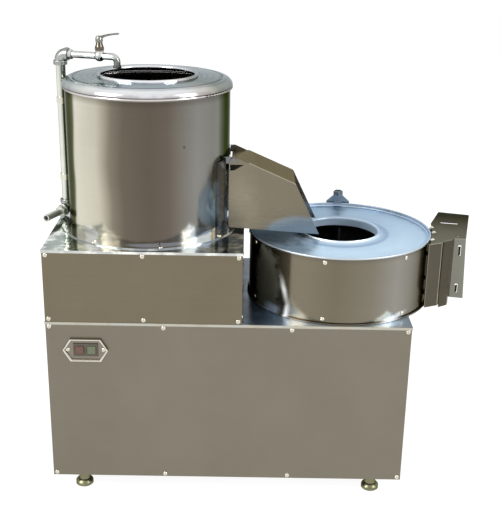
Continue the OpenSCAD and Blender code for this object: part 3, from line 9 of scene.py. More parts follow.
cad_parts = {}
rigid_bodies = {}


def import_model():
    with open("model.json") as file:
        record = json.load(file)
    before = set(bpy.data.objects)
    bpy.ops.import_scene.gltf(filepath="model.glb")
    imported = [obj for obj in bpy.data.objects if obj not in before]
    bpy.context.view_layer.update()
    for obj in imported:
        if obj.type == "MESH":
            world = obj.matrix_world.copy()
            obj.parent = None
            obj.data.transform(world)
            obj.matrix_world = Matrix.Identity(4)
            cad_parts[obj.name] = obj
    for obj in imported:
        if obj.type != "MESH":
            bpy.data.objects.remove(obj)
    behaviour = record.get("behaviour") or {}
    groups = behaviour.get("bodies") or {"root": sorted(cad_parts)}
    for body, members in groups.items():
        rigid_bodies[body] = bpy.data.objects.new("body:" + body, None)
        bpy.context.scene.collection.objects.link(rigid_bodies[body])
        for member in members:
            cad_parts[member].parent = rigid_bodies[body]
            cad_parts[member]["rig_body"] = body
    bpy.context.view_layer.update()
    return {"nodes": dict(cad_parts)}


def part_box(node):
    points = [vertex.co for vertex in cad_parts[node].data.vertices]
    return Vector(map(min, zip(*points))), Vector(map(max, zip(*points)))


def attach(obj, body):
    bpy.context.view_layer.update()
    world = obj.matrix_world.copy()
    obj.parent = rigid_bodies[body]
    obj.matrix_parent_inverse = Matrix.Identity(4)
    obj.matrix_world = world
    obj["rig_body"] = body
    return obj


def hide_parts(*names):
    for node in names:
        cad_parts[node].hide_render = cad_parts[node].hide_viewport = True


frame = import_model()
print("frame loaded:", len(frame["nodes"]), "nodes")

# ---- small helpers ----

weldGap = 0.00001      # corners closer than this are one, metres
axisRadius = 0.001     # a spun line starts this far from its axis, millimetres
noiseReach = (0.3, 0.7)     # the part of its range that a noise mostly fills


def linear(hexColour):
    # sRGB hex to the linear colour that a shader takes
    parts = [int(hexColour[i:i + 2], 16) / 255 for i in (1, 3, 5)]
    return [p / 12.92 if p <= 0.04045 else ((p + 0.055) / 1.055) ** 2.4 for p in parts] + [1.0]


def addNode(material, kind, inputs=None, **settings):
    # one shader node with its settings and what feeds its sockets
    node = material.node_tree.nodes.new(kind)
    for name, value in settings.items():
        setattr(node, name, value)
    for socket, value in (inputs or {}).items():
        if isinstance(value, bpy.types.NodeSocket):
            material.node_tree.links.new(value, node.inputs[socket])
        else:
            node.inputs[socket].default_value = value
    return node


def startMaterial(name, colour, metallic, roughness):
    material = bpy.data.materials.new(name)
    material.use_nodes = True
    shader = material.node_tree.nodes["Principled BSDF"]
    shader.inputs["Base Color"].default_value = linear(colour)
    shader.inputs["Metallic"].default_value = metallic
    shader.inputs["Roughness"].default_value = roughness
    material.diffuse_color = linear(colour)
    return material, shader


def link(material, output, shader, socket):
    material.node_tree.links.new(output, shader.inputs[socket])


def calculate(material, operation, *values):
    # one step of arithmetic on a shader's values
    inputs = dict(enumerate(values))
    return addNode(material, "ShaderNodeMath", inputs, operation=operation).outputs[0]


def carry(material, value, reach, target, **settings):
    # a value carried from one range to another
    inputs = {"Value": value, "From Min": reach[0], "From Max": reach[1],
              "To Min": target[0], "To Max": target[1]}
    return addNode(material, "ShaderNodeMapRange", inputs, **settings).outputs[0]


def millimetres(value):
    return value / 1000


def inMillimetres(value):
    return value * 1000


def deselectAll():
    if bpy.context.object and bpy.context.object.mode != "OBJECT":
        bpy.ops.object.mode_set(mode="OBJECT")
    bpy.ops.object.select_all(action="DESELECT")


def makeActive(piece):
    deselectAll()
    piece.select_set(True)
    bpy.context.view_layer.objects.active = piece


def applyModifiers(piece):
    makeActive(piece)
    for modifier in list(piece.modifiers):
        bpy.ops.object.modifier_apply(modifier=modifier.name)


def applyPlace(piece):
    makeActive(piece)
    bpy.ops.object.transform_apply(location=True, rotation=True, scale=True)


def easeEdges(piece, width, segments, angle):
    # edges that fold by more than the angle rounded, width in millimetres
    eased = piece.modifiers.new("eased", "BEVEL")
    eased.width = millimetres(width)
    eased.segments = segments
    eased.limit_method = "ANGLE"
    eased.angle_limit = math.radians(angle)
    applyModifiers(piece)


def joined(pieces):
    deselectAll()
    for piece in pieces:
        piece.select_set(True)
    bpy.context.view_layer.objects.active = pieces[0]
    bpy.ops.object.join()
    return pieces[0]


def combine(piece, other, operation):
    # the second piece added to the first or cut from it, and gone afterwards
    step = piece.modifiers.new("step", "BOOLEAN")
    step.operation = operation
    step.object = other
    applyModifiers(piece)
    bpy.data.objects.remove(other)


def finishPiece(piece, name, body, materials, replaced, smooth):
    # places applied, edges shaded, and the piece tied to its body
    applyPlace(piece)
    bpy.ops.object.shade_smooth_by_angle(angle=math.radians(smooth))
    # large flat faces keep a level shade beside their worked edges
    level = piece.modifiers.new("level", "WEIGHTED_NORMAL")
    level.keep_sharp = True
    applyModifiers(piece)
    piece.name = name
    if len(piece.data.materials) == 0:
        for material in materials:
            piece.data.materials.append(material)
    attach(piece, body)
    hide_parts(*replaced)


def cleanCopy(node, materials):
    # a node's own shape as joined faces in an object of its own, left in edit mode
    piece = bpy.data.objects.new(node, frame["nodes"][node].data.copy())
    bpy.context.scene.collection.objects.link(piece)
    piece.data.materials.clear()
    for material in materials:
        piece.data.materials.append(material)
    makeActive(piece)
    if piece.data.has_custom_normals:
        bpy.ops.mesh.customdata_custom_splitnormals_clear()
    bpy.ops.object.mode_set(mode="EDIT")
    bpy.ops.mesh.select_mode(type="EDGE")
    bpy.ops.mesh.select_all(action="SELECT")
    bpy.ops.mesh.remove_doubles(threshold=weldGap)
    bpy.ops.mesh.dissolve_limited(angle_limit=math.radians(1))
    return piece


# lengths in millimetres, angles in degrees: a fold is worked where it turns by more than its
# angle and both of its faces are wider than "wide"
edgeWork = {"wide": 6, "foldTurn": 30, "foldSteps": 4, "rimTurn": 35, "rimSteps": 2, "smooth": 40}


def softenedCopy(node, name, materials, fold, rim):
    # a node's own shape: long outer folds rounded to one radius and shown in the second
    # material, and every other edge eased a little, all in millimetres
    size = edgeWork
    piece = cleanCopy(node, materials)
    if fold:
        mesh = bmesh.from_edit_mesh(piece.data)
        for edge in mesh.edges:
            edge.select = (
                len(edge.link_faces) == 2 and edge.is_convex
                and edge.calc_face_angle() > math.radians(size["foldTurn"])
                and edge.calc_length() > millimetres(2 * size["wide"])
                and min(face.calc_area() for face in edge.link_faces)
                > edge.calc_length() * millimetres(size["wide"])
            )
        bmesh.update_edit_mesh(piece.data)
        bpy.ops.mesh.bevel(offset=millimetres(fold), segments=size["foldSteps"], profile=0.5,
                           clamp_overlap=False, material=len(materials) - 1)
    bpy.ops.object.mode_set(mode="OBJECT")
    easeEdges(piece, rim, size["rimSteps"], size["rimTurn"])
    body = frame["nodes"][node]["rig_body"]
    finishPiece(piece, name, body, materials, (node,), size["smooth"])


def islandsOf(node):
    # a node's loose solids, each as its faces' centres, normals and areas
    mesh = bmesh.new()
    mesh.from_mesh(frame["nodes"][node].data)
    bmesh.ops.remove_doubles(mesh, verts=mesh.verts, dist=weldGap)
    # a dictionary keeps the faces in order, so that each run finds the same solids first
    left = dict.fromkeys(mesh.faces)
    islands = []
    while left:
        queue = [left.popitem()[0]]
        island = []
        while queue:
            face = queue.pop()
            island.append((face.calc_center_median(), face.normal.copy(), face.calc_area()))
            for edge in face.edges:
                for other in edge.link_faces:
                    if other in left:
                        del left[other]
                        queue.append(other)
        islands.append(island)
    mesh.free()
    return islands


def screwSeats(node):
    # where each screw's head sits and which way it points, read from its largest flat ring
    seats = []
    for island in islandsOf(node):
        rings = {}
        for centre, normal, area in island:
            key = tuple(round(v, 2) for v in normal) + (round(centre.dot(normal), 4),)
            total, place, direction = rings.get(key, (0, Vector((0, 0, 0)), normal))
            rings[key] = (total + area, place + centre * area, direction)
        area, place, direction = max(rings.values(), key=lambda ring: ring[0])
        seats.append((place / area, -direction))
    return seats


def placeCopies(model, seats, step):
    # copies of a piece modelled on z = 0, each with its own mesh and turned a step further
    # than the last, in radians, joined into one piece
    copies = []
    for number, (place, axis) in enumerate(seats):
        copy = bpy.data.objects.new(model.name, model.data.copy())
        bpy.context.scene.collection.objects.link(copy)
        turn = axis.to_track_quat("Z", "Y").to_matrix().to_4x4()
        copy.matrix_world = (Matrix.Translation(place) @ turn
                             @ Matrix.Rotation(number * step, 4, "Z"))
        copies.append(copy)
    bpy.data.objects.remove(model)
    return joined(copies)


def spunShell(name, line, centre, thickness, steps):
    # one vertex pulled along a line of (radius, height) in millimetres, spun, then thickened
    # towards its inside
    deselectAll()
    bpy.ops.mesh.primitive_plane_add(size=0.01, location=(0, 0, 0))
    piece = bpy.context.object
    bpy.ops.object.mode_set(mode="EDIT")
    bpy.ops.mesh.select_mode(type="VERT")
    bpy.ops.mesh.select_all(action="SELECT")
    bpy.ops.mesh.merge(type="CENTER")
    points = [Vector((centre.x + millimetres(p[0]), centre.y, millimetres(p[1]))) for p in line]
    bpy.ops.transform.translate(value=points[0])
    for here, there in zip(points, points[1:]):
        bpy.ops.mesh.extrude_vertices_move(TRANSFORM_OT_translate={"value": there - here})
    bpy.ops.mesh.select_all(action="SELECT")
    bpy.ops.mesh.spin(steps=steps, angle=math.tau, center=(centre.x, centre.y, 0),
                      axis=(0, 0, 1))
    bpy.ops.mesh.select_all(action="SELECT")
    bpy.ops.mesh.remove_doubles(threshold=weldGap / 2)
    bpy.ops.mesh.normals_make_consistent(inside=False)
    bpy.ops.object.mode_set(mode="OBJECT")
    if thickness:
        wall = piece.modifiers.new("wall", "SOLIDIFY")
        wall.thickness = millimetres(thickness)
        wall.offset = -1
        wall.use_even_offset = True
        applyModifiers(piece)
    piece.name = name
    return piece


def middleOf(node):
    low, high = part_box(node)
    return (low + high) / 2


# ---- camera, light and floor ----

# place is from the front panel's low left corner, metres; turns in degrees
cameraView = {"across": 0.4308, "before": 1.9193, "height": 1.2702,
              "yaw": 0.37, "pitch": 19.98, "roll": 1.1, "lens": 66.3, "sensor": 36, "farthest": 50}


def addCamera():
    camera = bpy.data.objects.new("camera", bpy.data.cameras.new("camera"))
    bpy.context.scene.collection.objects.link(camera)
    camera.data.lens = cameraView["lens"]
    camera.data.sensor_width = cameraView["sensor"]
    camera.data.clip_end = cameraView["farthest"]
    turns = (
        Matrix.Rotation(math.radians(-cameraView["yaw"]), 4, "Z")
        @ Matrix.Rotation(math.radians(90 - cameraView["pitch"]), 4, "X")
        @ Matrix.Rotation(math.radians(cameraView["roll"]), 4, "Z")
    )
    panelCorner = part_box("cabinet_front_panel")[0]
    place = (panelCorner.x + cameraView["across"], panelCorner.y - cameraView["before"],
             cameraView["height"])
    camera.matrix_world = Matrix.Translation(place) @ turns
    bpy.context.scene.camera = camera


addCamera()

studio = {
    "worldLevel": 0.62,
    "floorSize": 14,
    "floorShade": 0.16,
    "floorGlow": 1.12,
    "floorColour": "#f4f3f0",
    "floorRoughness": 0.9,
    "lights": [
        # place, size, watts, whether polished sheet mirrors it
        ((-2.6, -1.9, 2.5), (1.6, 1.6), 95, True),
        ((2.7, -1.7, 2.2), (1.3, 1.9), 60, True),
        ((0.4, 1.9, 2.9), (2.4, 1.2), 70, False),
    ],
    "aim": (0, 0, 0.5),
}


def seenPlain(material):
    # 1 for rays that show the background: from the camera, a reflection or through glass
    rays = addNode(material, "ShaderNodeLightPath").outputs
    first = calculate(material, "MAXIMUM", rays["Is Camera Ray"], rays["Is Glossy Ray"])
    return calculate(material, "MAXIMUM", first, rays["Is Transmission Ray"])


def buildStudio():
    world = bpy.data.worlds.new("studio")
    bpy.context.scene.world = world
    world.use_nodes = True
    background = world.node_tree.nodes["Background"]
    background.inputs["Color"].default_value = (1, 1, 1, 1)
    level = carry(world, seenPlain(world), (0.0, 1.0), (studio["worldLevel"], 1.0))
    world.node_tree.links.new(level, background.inputs["Strength"])

    bpy.ops.mesh.primitive_plane_add(size=studio["floorSize"], location=(0, 0, 0))
    floor = bpy.context.object
    floor.name = "floor"
    material, shader = startMaterial("palePaper", studio["floorColour"], 0,
                                     studio["floorRoughness"])
    output = material.node_tree.nodes["Material Output"]
    glow = addNode(material, "ShaderNodeEmission",
                   {"Color": (1, 1, 1, 1), "Strength": studio["floorGlow"]})
    shade = addNode(material, "ShaderNodeMixShader",
                    {0: studio["floorShade"], 1: glow.outputs[0], 2: shader.outputs[0]})
    mixed = addNode(material, "ShaderNodeMixShader",
                    {0: seenPlain(material), 1: shader.outputs[0], 2: shade.outputs[0]})
    material.node_tree.links.new(mixed.outputs[0], output.inputs["Surface"])
    floor.data.materials.append(material)

    for number, (place, size, watts, mirrored) in enumerate(studio["lights"]):
        lamp = bpy.data.lights.new(f"softbox{number}", "AREA")
        lamp.shape = "RECTANGLE"
        lamp.size, lamp.size_y = size
        lamp.energy = watts
        box = bpy.data.objects.new(lamp.name, lamp)
        bpy.context.scene.collection.objects.link(box)
        aim = Vector(studio["aim"]) - Vector(place)
        facing = aim.to_track_quat("-Z", "Y").to_matrix().to_4x4()
        box.matrix_world = Matrix.Translation(place) @ facing
        box.visible_camera = False
        box.visible_glossy = mirrored
    bpy.context.scene.view_settings.view_transform = "Standard"


buildStudio()
print("studio ready")

# ---- finishes ----


def measured(material, place, kind, centre):
    # what a painted band follows: the direction round an upright axis in degrees or, in
    # millimetres, the distance from it, the height, or the place across or in depth
    moved = addNode(material, "ShaderNodeVectorMath", {0: place, 1: centre}, operation="SUBTRACT")
    x, y, z = addNode(material, "ShaderNodeSeparateXYZ", {0: moved.outputs[0]}).outputs
    if kind == "turn":
        return calculate(material, "DEGREES", calculate(material, "ARCTAN2", y, x))
    if kind == "reach":
        reach = lengthOf(material, x, y)
    else:
        reach = {"across": x, "depth": y, "height": z}[kind]
    return calculate(material, "MULTIPLY", reach, 1000.0)


def lengthOf(material, x, y):
    flat = addNode(material, "ShaderNodeCombineXYZ", {0: x, 1: y})
    length = addNode(material, "ShaderNodeVectorMath", {0: flat.outputs[0]}, operation="LENGTH")
    return length.outputs["Value"]


def noise(material, place, scale, **inputs):
    texture = addNode(material, "ShaderNodeTexNoise", {"Vector": place, "Scale": scale, **inputs})
    return texture.outputs["Fac"]


def laidOver(material, under, over, share):
    # one colour over another, as far as the share says
    mixed = addNode(material, "ShaderNodeMix", {0: share, 6: under, 7: over}, data_type="RGBA")
    return mixed.outputs[2]


def paintBands(material, place, under, bands):
    # bands of colour along one measure, mostly painted reflection, highlight and shade; each stop
    # is (measure, colour), and how far it covers where that is not all
    value = measured(material, place, bands["along"], bands.get("centre", (0, 0, 0)))
    if "wobble" in bands:
        slow = noise(material, place, bands.get("scale", 5.0), Detail=2.0)
        swing = carry(material, slow, noiseReach, (-bands["wobble"], bands["wobble"]))
        value = calculate(material, "ADD", value, swing)
    stops = bands["stops"]
    low, high = stops[0][0], stops[-1][0]
    share = carry(material, value, (low, high), (0.0, 1.0))
    ramp = addNode(material, "ShaderNodeValToRGB", {"Fac": share})
    elements = ramp.color_ramp.elements
    while len(elements) < len(stops):
        elements.new(0.5)
    for element, (at, colour, *cover) in zip(elements, stops):
        element.position = (at - low) / (high - low)
        element.color = linear(colour)[:3] + (cover or [1.0])
    return laidOver(material, under, ramp.outputs["Color"], ramp.outputs["Alpha"])


# how finely a glint's edge is frayed, and where it ends against its half sizes
glintEdge = {"fray": 60.0, "end": 1.25}


def paintGlint(material, place, under, glint):
    # a soft-edged oval of painted reflection, where the sheet would mirror something bright or
    # dark, and how far it covers; its place is a direction in degrees, or a distance in
    # millimetres, and a height; its size is half each way
    way = measured(material, place, glint.get("along", "turn"), glint.get("centre", (0, 0, 0)))
    height = measured(material, place, "height", (0, 0, 0))
    sides = []
    for value, at, half in ((way, glint["at"], glint["wide"]),
                            (height, glint["height"], glint["tall"])):
        away = calculate(material, "SUBTRACT", value, at)
        sides.append(calculate(material, "DIVIDE", away, half))
    lean = calculate(material, "MULTIPLY_ADD", sides[1], glint.get("lean", 0.0), sides[0])
    fray = noise(material, place, glintEdge["fray"], Detail=2.0)
    edge = calculate(material, "MULTIPLY", fray, glint.get("ragged", 0.5))
    total = calculate(material, "ADD", lengthOf(material, lean, sides[1]), edge)
    share = carry(material, total, (glint.get("core", 0.8), glintEdge["end"]),
                  (glint.get("cover", 1.0), 0.0), interpolation_type="SMOOTHSTEP")
    return laidOver(material, under, linear(glint["colour"]), share), share


# what a sheet has unless its finish says otherwise
plainSheet = {"metallic": 1.0, "bands": (), "glints": (), "patch": 7.0, "grain": (4, 4, 900),
              "wave": 0.08, "edge": "#ffffff"}
# the noise between which a patch of painted reflection sets in, the grain's swing of roughness, a
# wave's depth in metres
sheetSkin = {"cloudEdge": (0.5, 0.62), "polish": (0.8, 1.25), "waveDeep": 0.004}


def sheetMetal(name, hexColour, roughness, mottle, streak, given):
    # rolled sheet: its colour with bands and ovals of painted reflection, highlight and shade,
    # patches of painted reflection, slow patches, drawn grain and a slight wave
    finish = {**plainSheet, **given}
    metallic = finish["metallic"]
    material, shader = startMaterial(name, hexColour, metallic, roughness)
    place = addNode(material, "ShaderNodeTexCoord").outputs["Object"]
    colour = linear(hexColour)
    for bands in finish["bands"]:
        colour = paintBands(material, place, colour, bands)
    for glint in finish["glints"]:
        colour, share = paintGlint(material, place, colour, glint)
        if "dull" in glint:
            # made matt here, so its painted colour shows lit instead of mirroring the dark side it
            # faces
            scuff = carry(material, share, (0.0, 1.0), (1.0, 1 - glint["dull"]))
            metallic = calculate(material, "MULTIPLY", metallic, scuff)
            link(material, metallic, shader, "Metallic")
    patches = noise(material, place, finish["patch"], Detail=3.0, Roughness=0.6)
    stretched = addNode(material, "ShaderNodeMapping", {"Vector": place, "Scale": finish["grain"]})
    brush = noise(material, stretched.outputs[0], 1.0, Detail=3.0)
    # patches of painted reflection laid over the colour
    if "cloud" in finish:
        cloud, thickest = finish["cloud"]
        cover = carry(material, patches, sheetSkin["cloudEdge"], (0.0, thickest))
        colour = laidOver(material, colour, linear(cloud), cover)
    tones = [carry(material, value, noiseReach, (1 - swing, 1 + swing))
             for value, swing in ((patches, mottle), (brush, streak))]
    toned = addNode(material, "ShaderNodeHueSaturation",
                    {"Value": calculate(material, "MULTIPLY", *tones), "Color": colour})
    link(material, toned.outputs[0], shader, "Base Color")
    polish = carry(material, brush, noiseReach, [roughness * part for part in sheetSkin["polish"]])
    link(material, polish, shader, "Roughness")
    wave = addNode(material, "ShaderNodeBump", {"Height": patches, "Strength": finish["wave"],
                                                "Distance": sheetSkin["waveDeep"]})
    link(material, wave.outputs[0], shader, "Normal")
    shader.inputs["Specular Tint"].default_value = linear(finish["edge"])
    return material


drumAxis = (middleOf("drum_wall").x, middleOf("drum_wall").y, 0)
slicerAxis = (middleOf("slicer_base_ring").x, middleOf("slicer_base_ring").y, 0)
riserTop = inMillimetres(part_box("riser_top_plate")[1].z)
deckTop = inMillimetres(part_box("deck_plate")[1].z)
wallTop = inMillimetres(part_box("drum_wall")[1].z)
slicerTop = inMillimetres(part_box("slicer_lid")[1].z)
riserSide = inMillimetres(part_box("riser_top_plate")[1].x)
frontFace = inMillimetres(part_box("cabinet_front_panel")[0].y)

# the drum: bands of painted reflection, green-brown edges, a pale band on its left, a dark middle
# and a grey right side
drumReflectionBands = [
    {"along": "turn", "centre": drumAxis, "wobble": 2.0, "stops": [
        (-180, "#575c48"), (-163, "#62665a"), (-150, "#6f725f"), (-147, "#7a7a66"),
        (-144, "#e6e2d5"), (-134, "#cfccbc"), (-121, "#c0bbab"), (-110, "#7f786a"),
        (-101, "#686054"), (-84, "#60584e"), (-72, "#665e55"), (-62, "#75716a"), (-50, "#83827d"),
        (-36, "#7f7e79"), (-30, "#86877f"), (-26, "#6a6e62"), (-20, "#545c4a"), (-8, "#535b4c"),
        (10, "#5c6350"), (30, "#8d8a7d"), (50, "#c9c5b5"), (70, "#8a8577"), (95, "#686156"),
        (120, "#6f6a5e"), (140, "#b9b5a6"), (160, "#6a6b52"), (180, "#4c5a34")]},
    # painted shade just below the top bead and a painted highlight along it
    {"along": "height", "stops": [
        (wallTop - 22, "#3f3a33", 0), (wallTop - 8, "#3f3a33", 0.45), (wallTop - 6, "#cfc9c6", 0.8),
        (wallTop, "#e9e2e0", 0.9)]},
]
drumGlints = [
    # painted reflection of the slicer's pale lid, low on the right
    {"centre": drumAxis, "at": -31.5, "height": riserTop + 82, "wide": 8.5, "tall": 50,
     "colour": "#bccbd9", "cover": 0.85, "ragged": 0.35},
    {"centre": drumAxis, "at": -30.0, "height": riserTop + 88, "wide": 2.2, "tall": 26,
     "colour": "#5c6a7d", "cover": 0.6, "ragged": 0.8},
    # painted reflection of the top plate on the bright foot
    {"centre": drumAxis, "at": -129, "height": riserTop + 14, "wide": 8, "tall": 19,
     "colour": "#f6f4ee", "ragged": 0.3, "cover": 0.9},
    {"centre": drumAxis, "at": -39, "height": riserTop + 8, "wide": 17, "tall": 14,
     "colour": "#f2f5f8", "ragged": 0.5, "lean": -0.35, "cover": 0.9},
    {"centre": drumAxis, "at": -80, "height": riserTop + 2, "wide": 24, "tall": 6,
     "colour": "#9b9aa3", "cover": 0.8, "ragged": 0.3},
    # painted shade of a small dent, not modelled
    {"centre": drumAxis, "at": -60.5, "height": riserTop + 214, "wide": 1.1, "tall": 4.5,
     "colour": "#463f38", "cover": 0.7, "ragged": 0.6},
]
# the slicer's wall: painted reflections, dark where it faces the riser, warm grey in front
slicerReflectionShadeBands = [
    {"along": "turn", "centre": slicerAxis, "wobble": 1.2, "stops": [
        (-180, "#3c3c38"), (-165, "#4b4b45"), (-155, "#77776a"), (-148, "#8b8b7a"),
        (-140, "#77796f"), (-134, "#8d8c84"), (-127.5, "#8a867c"), (-125.5, "#7b7364"),
        (-114, "#7b7363"), (-96, "#726b5b"), (-75, "#7c7769"), (-58, "#8f8c85"), (-46, "#87847c"),
        (-30, "#726e62"), (20, "#7d786c"), (70, "#8f8b80"), (120, "#777164"), (160, "#3c3b37"),
        (180, "#20201e")]},
    # painted shade at the wall's foot and just under its lid
    {"along": "height", "stops": [
        (deckTop, "#55514a", 0.25), (deckTop + 12, "#55514a", 0), (slicerTop - 16, "#4d4740", 0),
        (slicerTop - 5, "#4d4740", 0.3)]},
]
slicerGlints = [
    # painted reflection of a dark stretch, faintly lit, its foot blue from the deck
    {"centre": slicerAxis, "at": -146, "height": deckTop + 60, "wide": 16, "tall": 120,
     "colour": "#6f7065", "cover": 0.9, "ragged": 0.6, "dull": 0.5},
    {"centre": slicerAxis, "at": -139, "height": deckTop + 8, "wide": 11, "tall": 19,
     "colour": "#a9bcd4", "ragged": 0.5, "core": 0.3, "dull": 0.8},
    # painted highlight: a bright streak beside it and its spread at the foot, made matt
    {"centre": slicerAxis, "at": -129.4, "height": deckTop + 62, "wide": 3.4, "tall": 46,
     "colour": "#eef1f3", "lean": 1.1, "ragged": 0.3, "core": 0.1, "dull": 0.85},
    {"centre": slicerAxis, "at": -127.5, "height": deckTop + 10, "wide": 3.0, "tall": 34,
     "colour": "#ffffff", "lean": -0.4, "ragged": 0.3, "core": 0.25, "dull": 0.9},
    # painted highlight low on the front right, made matt
    {"centre": slicerAxis, "at": -58, "height": deckTop + 7, "wide": 9, "tall": 14,
     "colour": "#f4f6f7", "lean": -0.9, "ragged": 0.4, "core": 0.2, "dull": 0.7},
]
# the drum's lid in rings of painted highlight, reflection and shade: bright shoulder, thin dark
# groove, blue-grey slope, pale lip
lidHighlightShadeBands = [
    {"along": "reach", "centre": drumAxis, "wobble": 1.6, "scale": 26.0, "stops": [
        (95, "#ececf0"), (111, "#f6f5fa"), (113, "#d8dce2"), (116, "#98a5aa"), (120, "#6e7c82"),
        (126, "#c6d4d8"), (131, "#8b9ba0"), (138, "#bccacb"), (146, "#93a3aa"), (155, "#c0cdcf"),
        (162, "#64707a"), (166, "#8b949a"), (169, "#e6e9eb"), (176, "#c6cacc"), (181, "#eceef0"),
        (187, "#e3e3e6"), (188.5, "#c4c0c4")]},
    # painted reflections round the lid, greenish-brown at the front right
    {"along": "turn", "centre": drumAxis, "wobble": 6.0, "stops": [
        (-180, "#717c79", 0.62), (-150, "#7d8a82", 0.5), (-132, "#c3c8b6", 0.35),
        (-118, "#dcdedf", 0.1), (-70, "#e6e8ea", 0.05), (-50, "#a89c86", 0.4),
        (-40, "#8b7d62", 0.5), (-30, "#5c674a", 0.7), (-12, "#62695e", 0.7), (30, "#727b7e", 0.5),
        (70, "#b0b9bb", 0.25), (110, "#b0b9bb", 0.2), (150, "#6c7774", 0.5),
        (180, "#717c79", 0.62)]},
    # painted shade in the crease where the lid meets the drum's wall
    {"along": "height", "stops": [
        (wallTop - 2, "#3f3a40", 0.0), (wallTop + 0.5, "#3f3a40", 0.75),
        (wallTop + 2.2, "#3f3a40", 0.0)]},
]
lidGlints = [
    # painted reflection of the yard: an uneven, greyer ring on the slope
    {"along": "reach", "centre": drumAxis, "at": 150, "height": wallTop + 18, "wide": 30,
     "tall": 3.2, "colour": "#8d9a9c", "cover": 0.4, "ragged": 1.4, "core": 0.4},
]
# the slicer's lid: pale blue, with painted shade darker towards the back and a painted highlight on
# its rim
slicerLidHighlightShadeBands = [
    {"along": "reach", "centre": slicerAxis, "stops": [
        (85, "#c4d6e6"), (93, "#e4f0fa"), (99, "#bdd2e6"), (110, "#a3b8d0"), (117, "#cfe4f4"),
        (150, "#d9eefc"), (194, "#d2e7f6"), (202, "#b2c8dc"), (205, "#ccd8e3"), (210, "#c9d2da"),
        (212, "#a3adb6")]},
    {"along": "turn", "centre": slicerAxis, "wobble": 4.0, "stops": [
        (-180, "#3d4a55", 0.8), (-158, "#5a6875", 0.6), (-138, "#9fb0c0", 0.3),
        (-118, "#cfe4f4", 0.0), (-50, "#cfe4f4", 0.0), (-10, "#b4c9df", 0.3), (40, "#9fb3c8", 0.5),
        (90, "#8da1b5", 0.55), (140, "#70818f", 0.6), (180, "#3d4a55", 0.8)]},
]
slicerLidGlints = [
    # the feed throat's own wall, satin inside
    {"along": "reach", "centre": slicerAxis, "at": 84, "height": slicerTop - 9, "wide": 5.5,
     "tall": 26, "colour": "#a8bccf", "ragged": 0.1, "core": 0.7, "dull": 0.75},
]
# painted reflections on the top plate, pale at the left and blue-grey at the right, and a painted
# highlight along its front edge
riserTopReflectionBands = [
    {"along": "across", "stops": [
        (riserSide - 430, "#87948f"), (riserSide - 330, "#bbc1be"), (riserSide - 210, "#b4b9c4"),
        (riserSide - 100, "#a9b8c4"), (riserSide - 50, "#76879c"), (riserSide, "#6b7d94")]},
    {"along": "depth", "stops": [
        (frontFace - 2, "#c9cbc9"), (frontFace + 1, "#c9cbc9"), (frontFace + 3, "#c9cbc9", 0)]},
]
# painted shade on the deck beside the riser, painted reflections lighter to the right, and a
# painted highlight along its front edge
deckShadeReflectionBands = [
    {"along": "across", "stops": [
        (riserSide - 10, "#39434d"), (riserSide + 40, "#4c5d6e"), (riserSide + 84, "#6c8095"),
        (riserSide + 112, "#c3ced9"), (riserSide + 240, "#9aa9b8"), (riserSide + 380, "#aebfcf")]},
    {"along": "depth", "stops": [
        (frontFace - 2, "#b3b0a3"), (frontFace + 1, "#b3b0a3"), (frontFace + 3, "#b3b0a3", 0)]},
]
hoodGlints = [
    # painted sheen on the cheek beside the drum, made matt so it does not mirror the dark drum
    {"along": "across", "at": riserSide - 20, "height": slicerTop + 60, "wide": 70, "tall": 130,
     "colour": "#8d8573", "cover": 0.85, "core": 0.3, "ragged": 0.4, "dull": 0.75},
    # painted reflection of the slicer's lid, low on the cheek
    {"along": "across", "at": riserSide + 126, "height": slicerTop - 2, "wide": 76, "tall": 45,
     "colour": "#8f9ba6", "cover": 0.75, "core": 0.92, "ragged": 0.06},
]
pipeAxis = (middleOf("water_pipe").x, middleOf("water_pipe").y, 0)
# painted light on the pipe's left side and painted shade on its right
pipeLightShadeBands = [
    {"along": "turn", "centre": pipeAxis, "stops": [
        (-180, "#c9ccc2"), (-150, "#e3e5dc"), (-105, "#dddfd5"), (-80, "#a5a99c"), (-50, "#6e7367"),
        (0, "#787d71"), (90, "#a9ac9f"), (180, "#c9ccc2")]},
]
# the tap's arm leaves the elbow a little above the pipe's end
armHeight = inMillimetres(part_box("water_pipe")[1].z) + 10
# painted shade under the tap's arm and a painted highlight along its top; brown above, over the
# bonnet
tapShadeHighlightBands = [
    {"along": "height", "stops": [
        (armHeight - 30, "#6d6f6e"), (armHeight - 10, "#828482"), (armHeight - 5, "#7c7e7b"),
        (armHeight - 1, "#c9cbc8"), (armHeight + 9, "#d3d5d2"), (armHeight + 13, "#6f695d"),
        (armHeight + 30, "#575147"), (armHeight + 44, "#6a655a")]},
]
guardBands = [
    {"along": "depth", "stops": [
        (frontFace, "#6a6459", 0), (frontFace + 150, "#6a6459", 0),
        (frontFace + 330, "#3b3f38", 0.75)]},
]
# painted highlight along the switch guard's front rim
plateRimHighlightBands = [
    {"along": "depth", "stops": [
        (frontFace - 8, "#e4e1d6"), (frontFace - 6, "#dcd8cb"), (frontFace - 3, "#8a8376"),
        (frontFace, "#857e72")]},
]

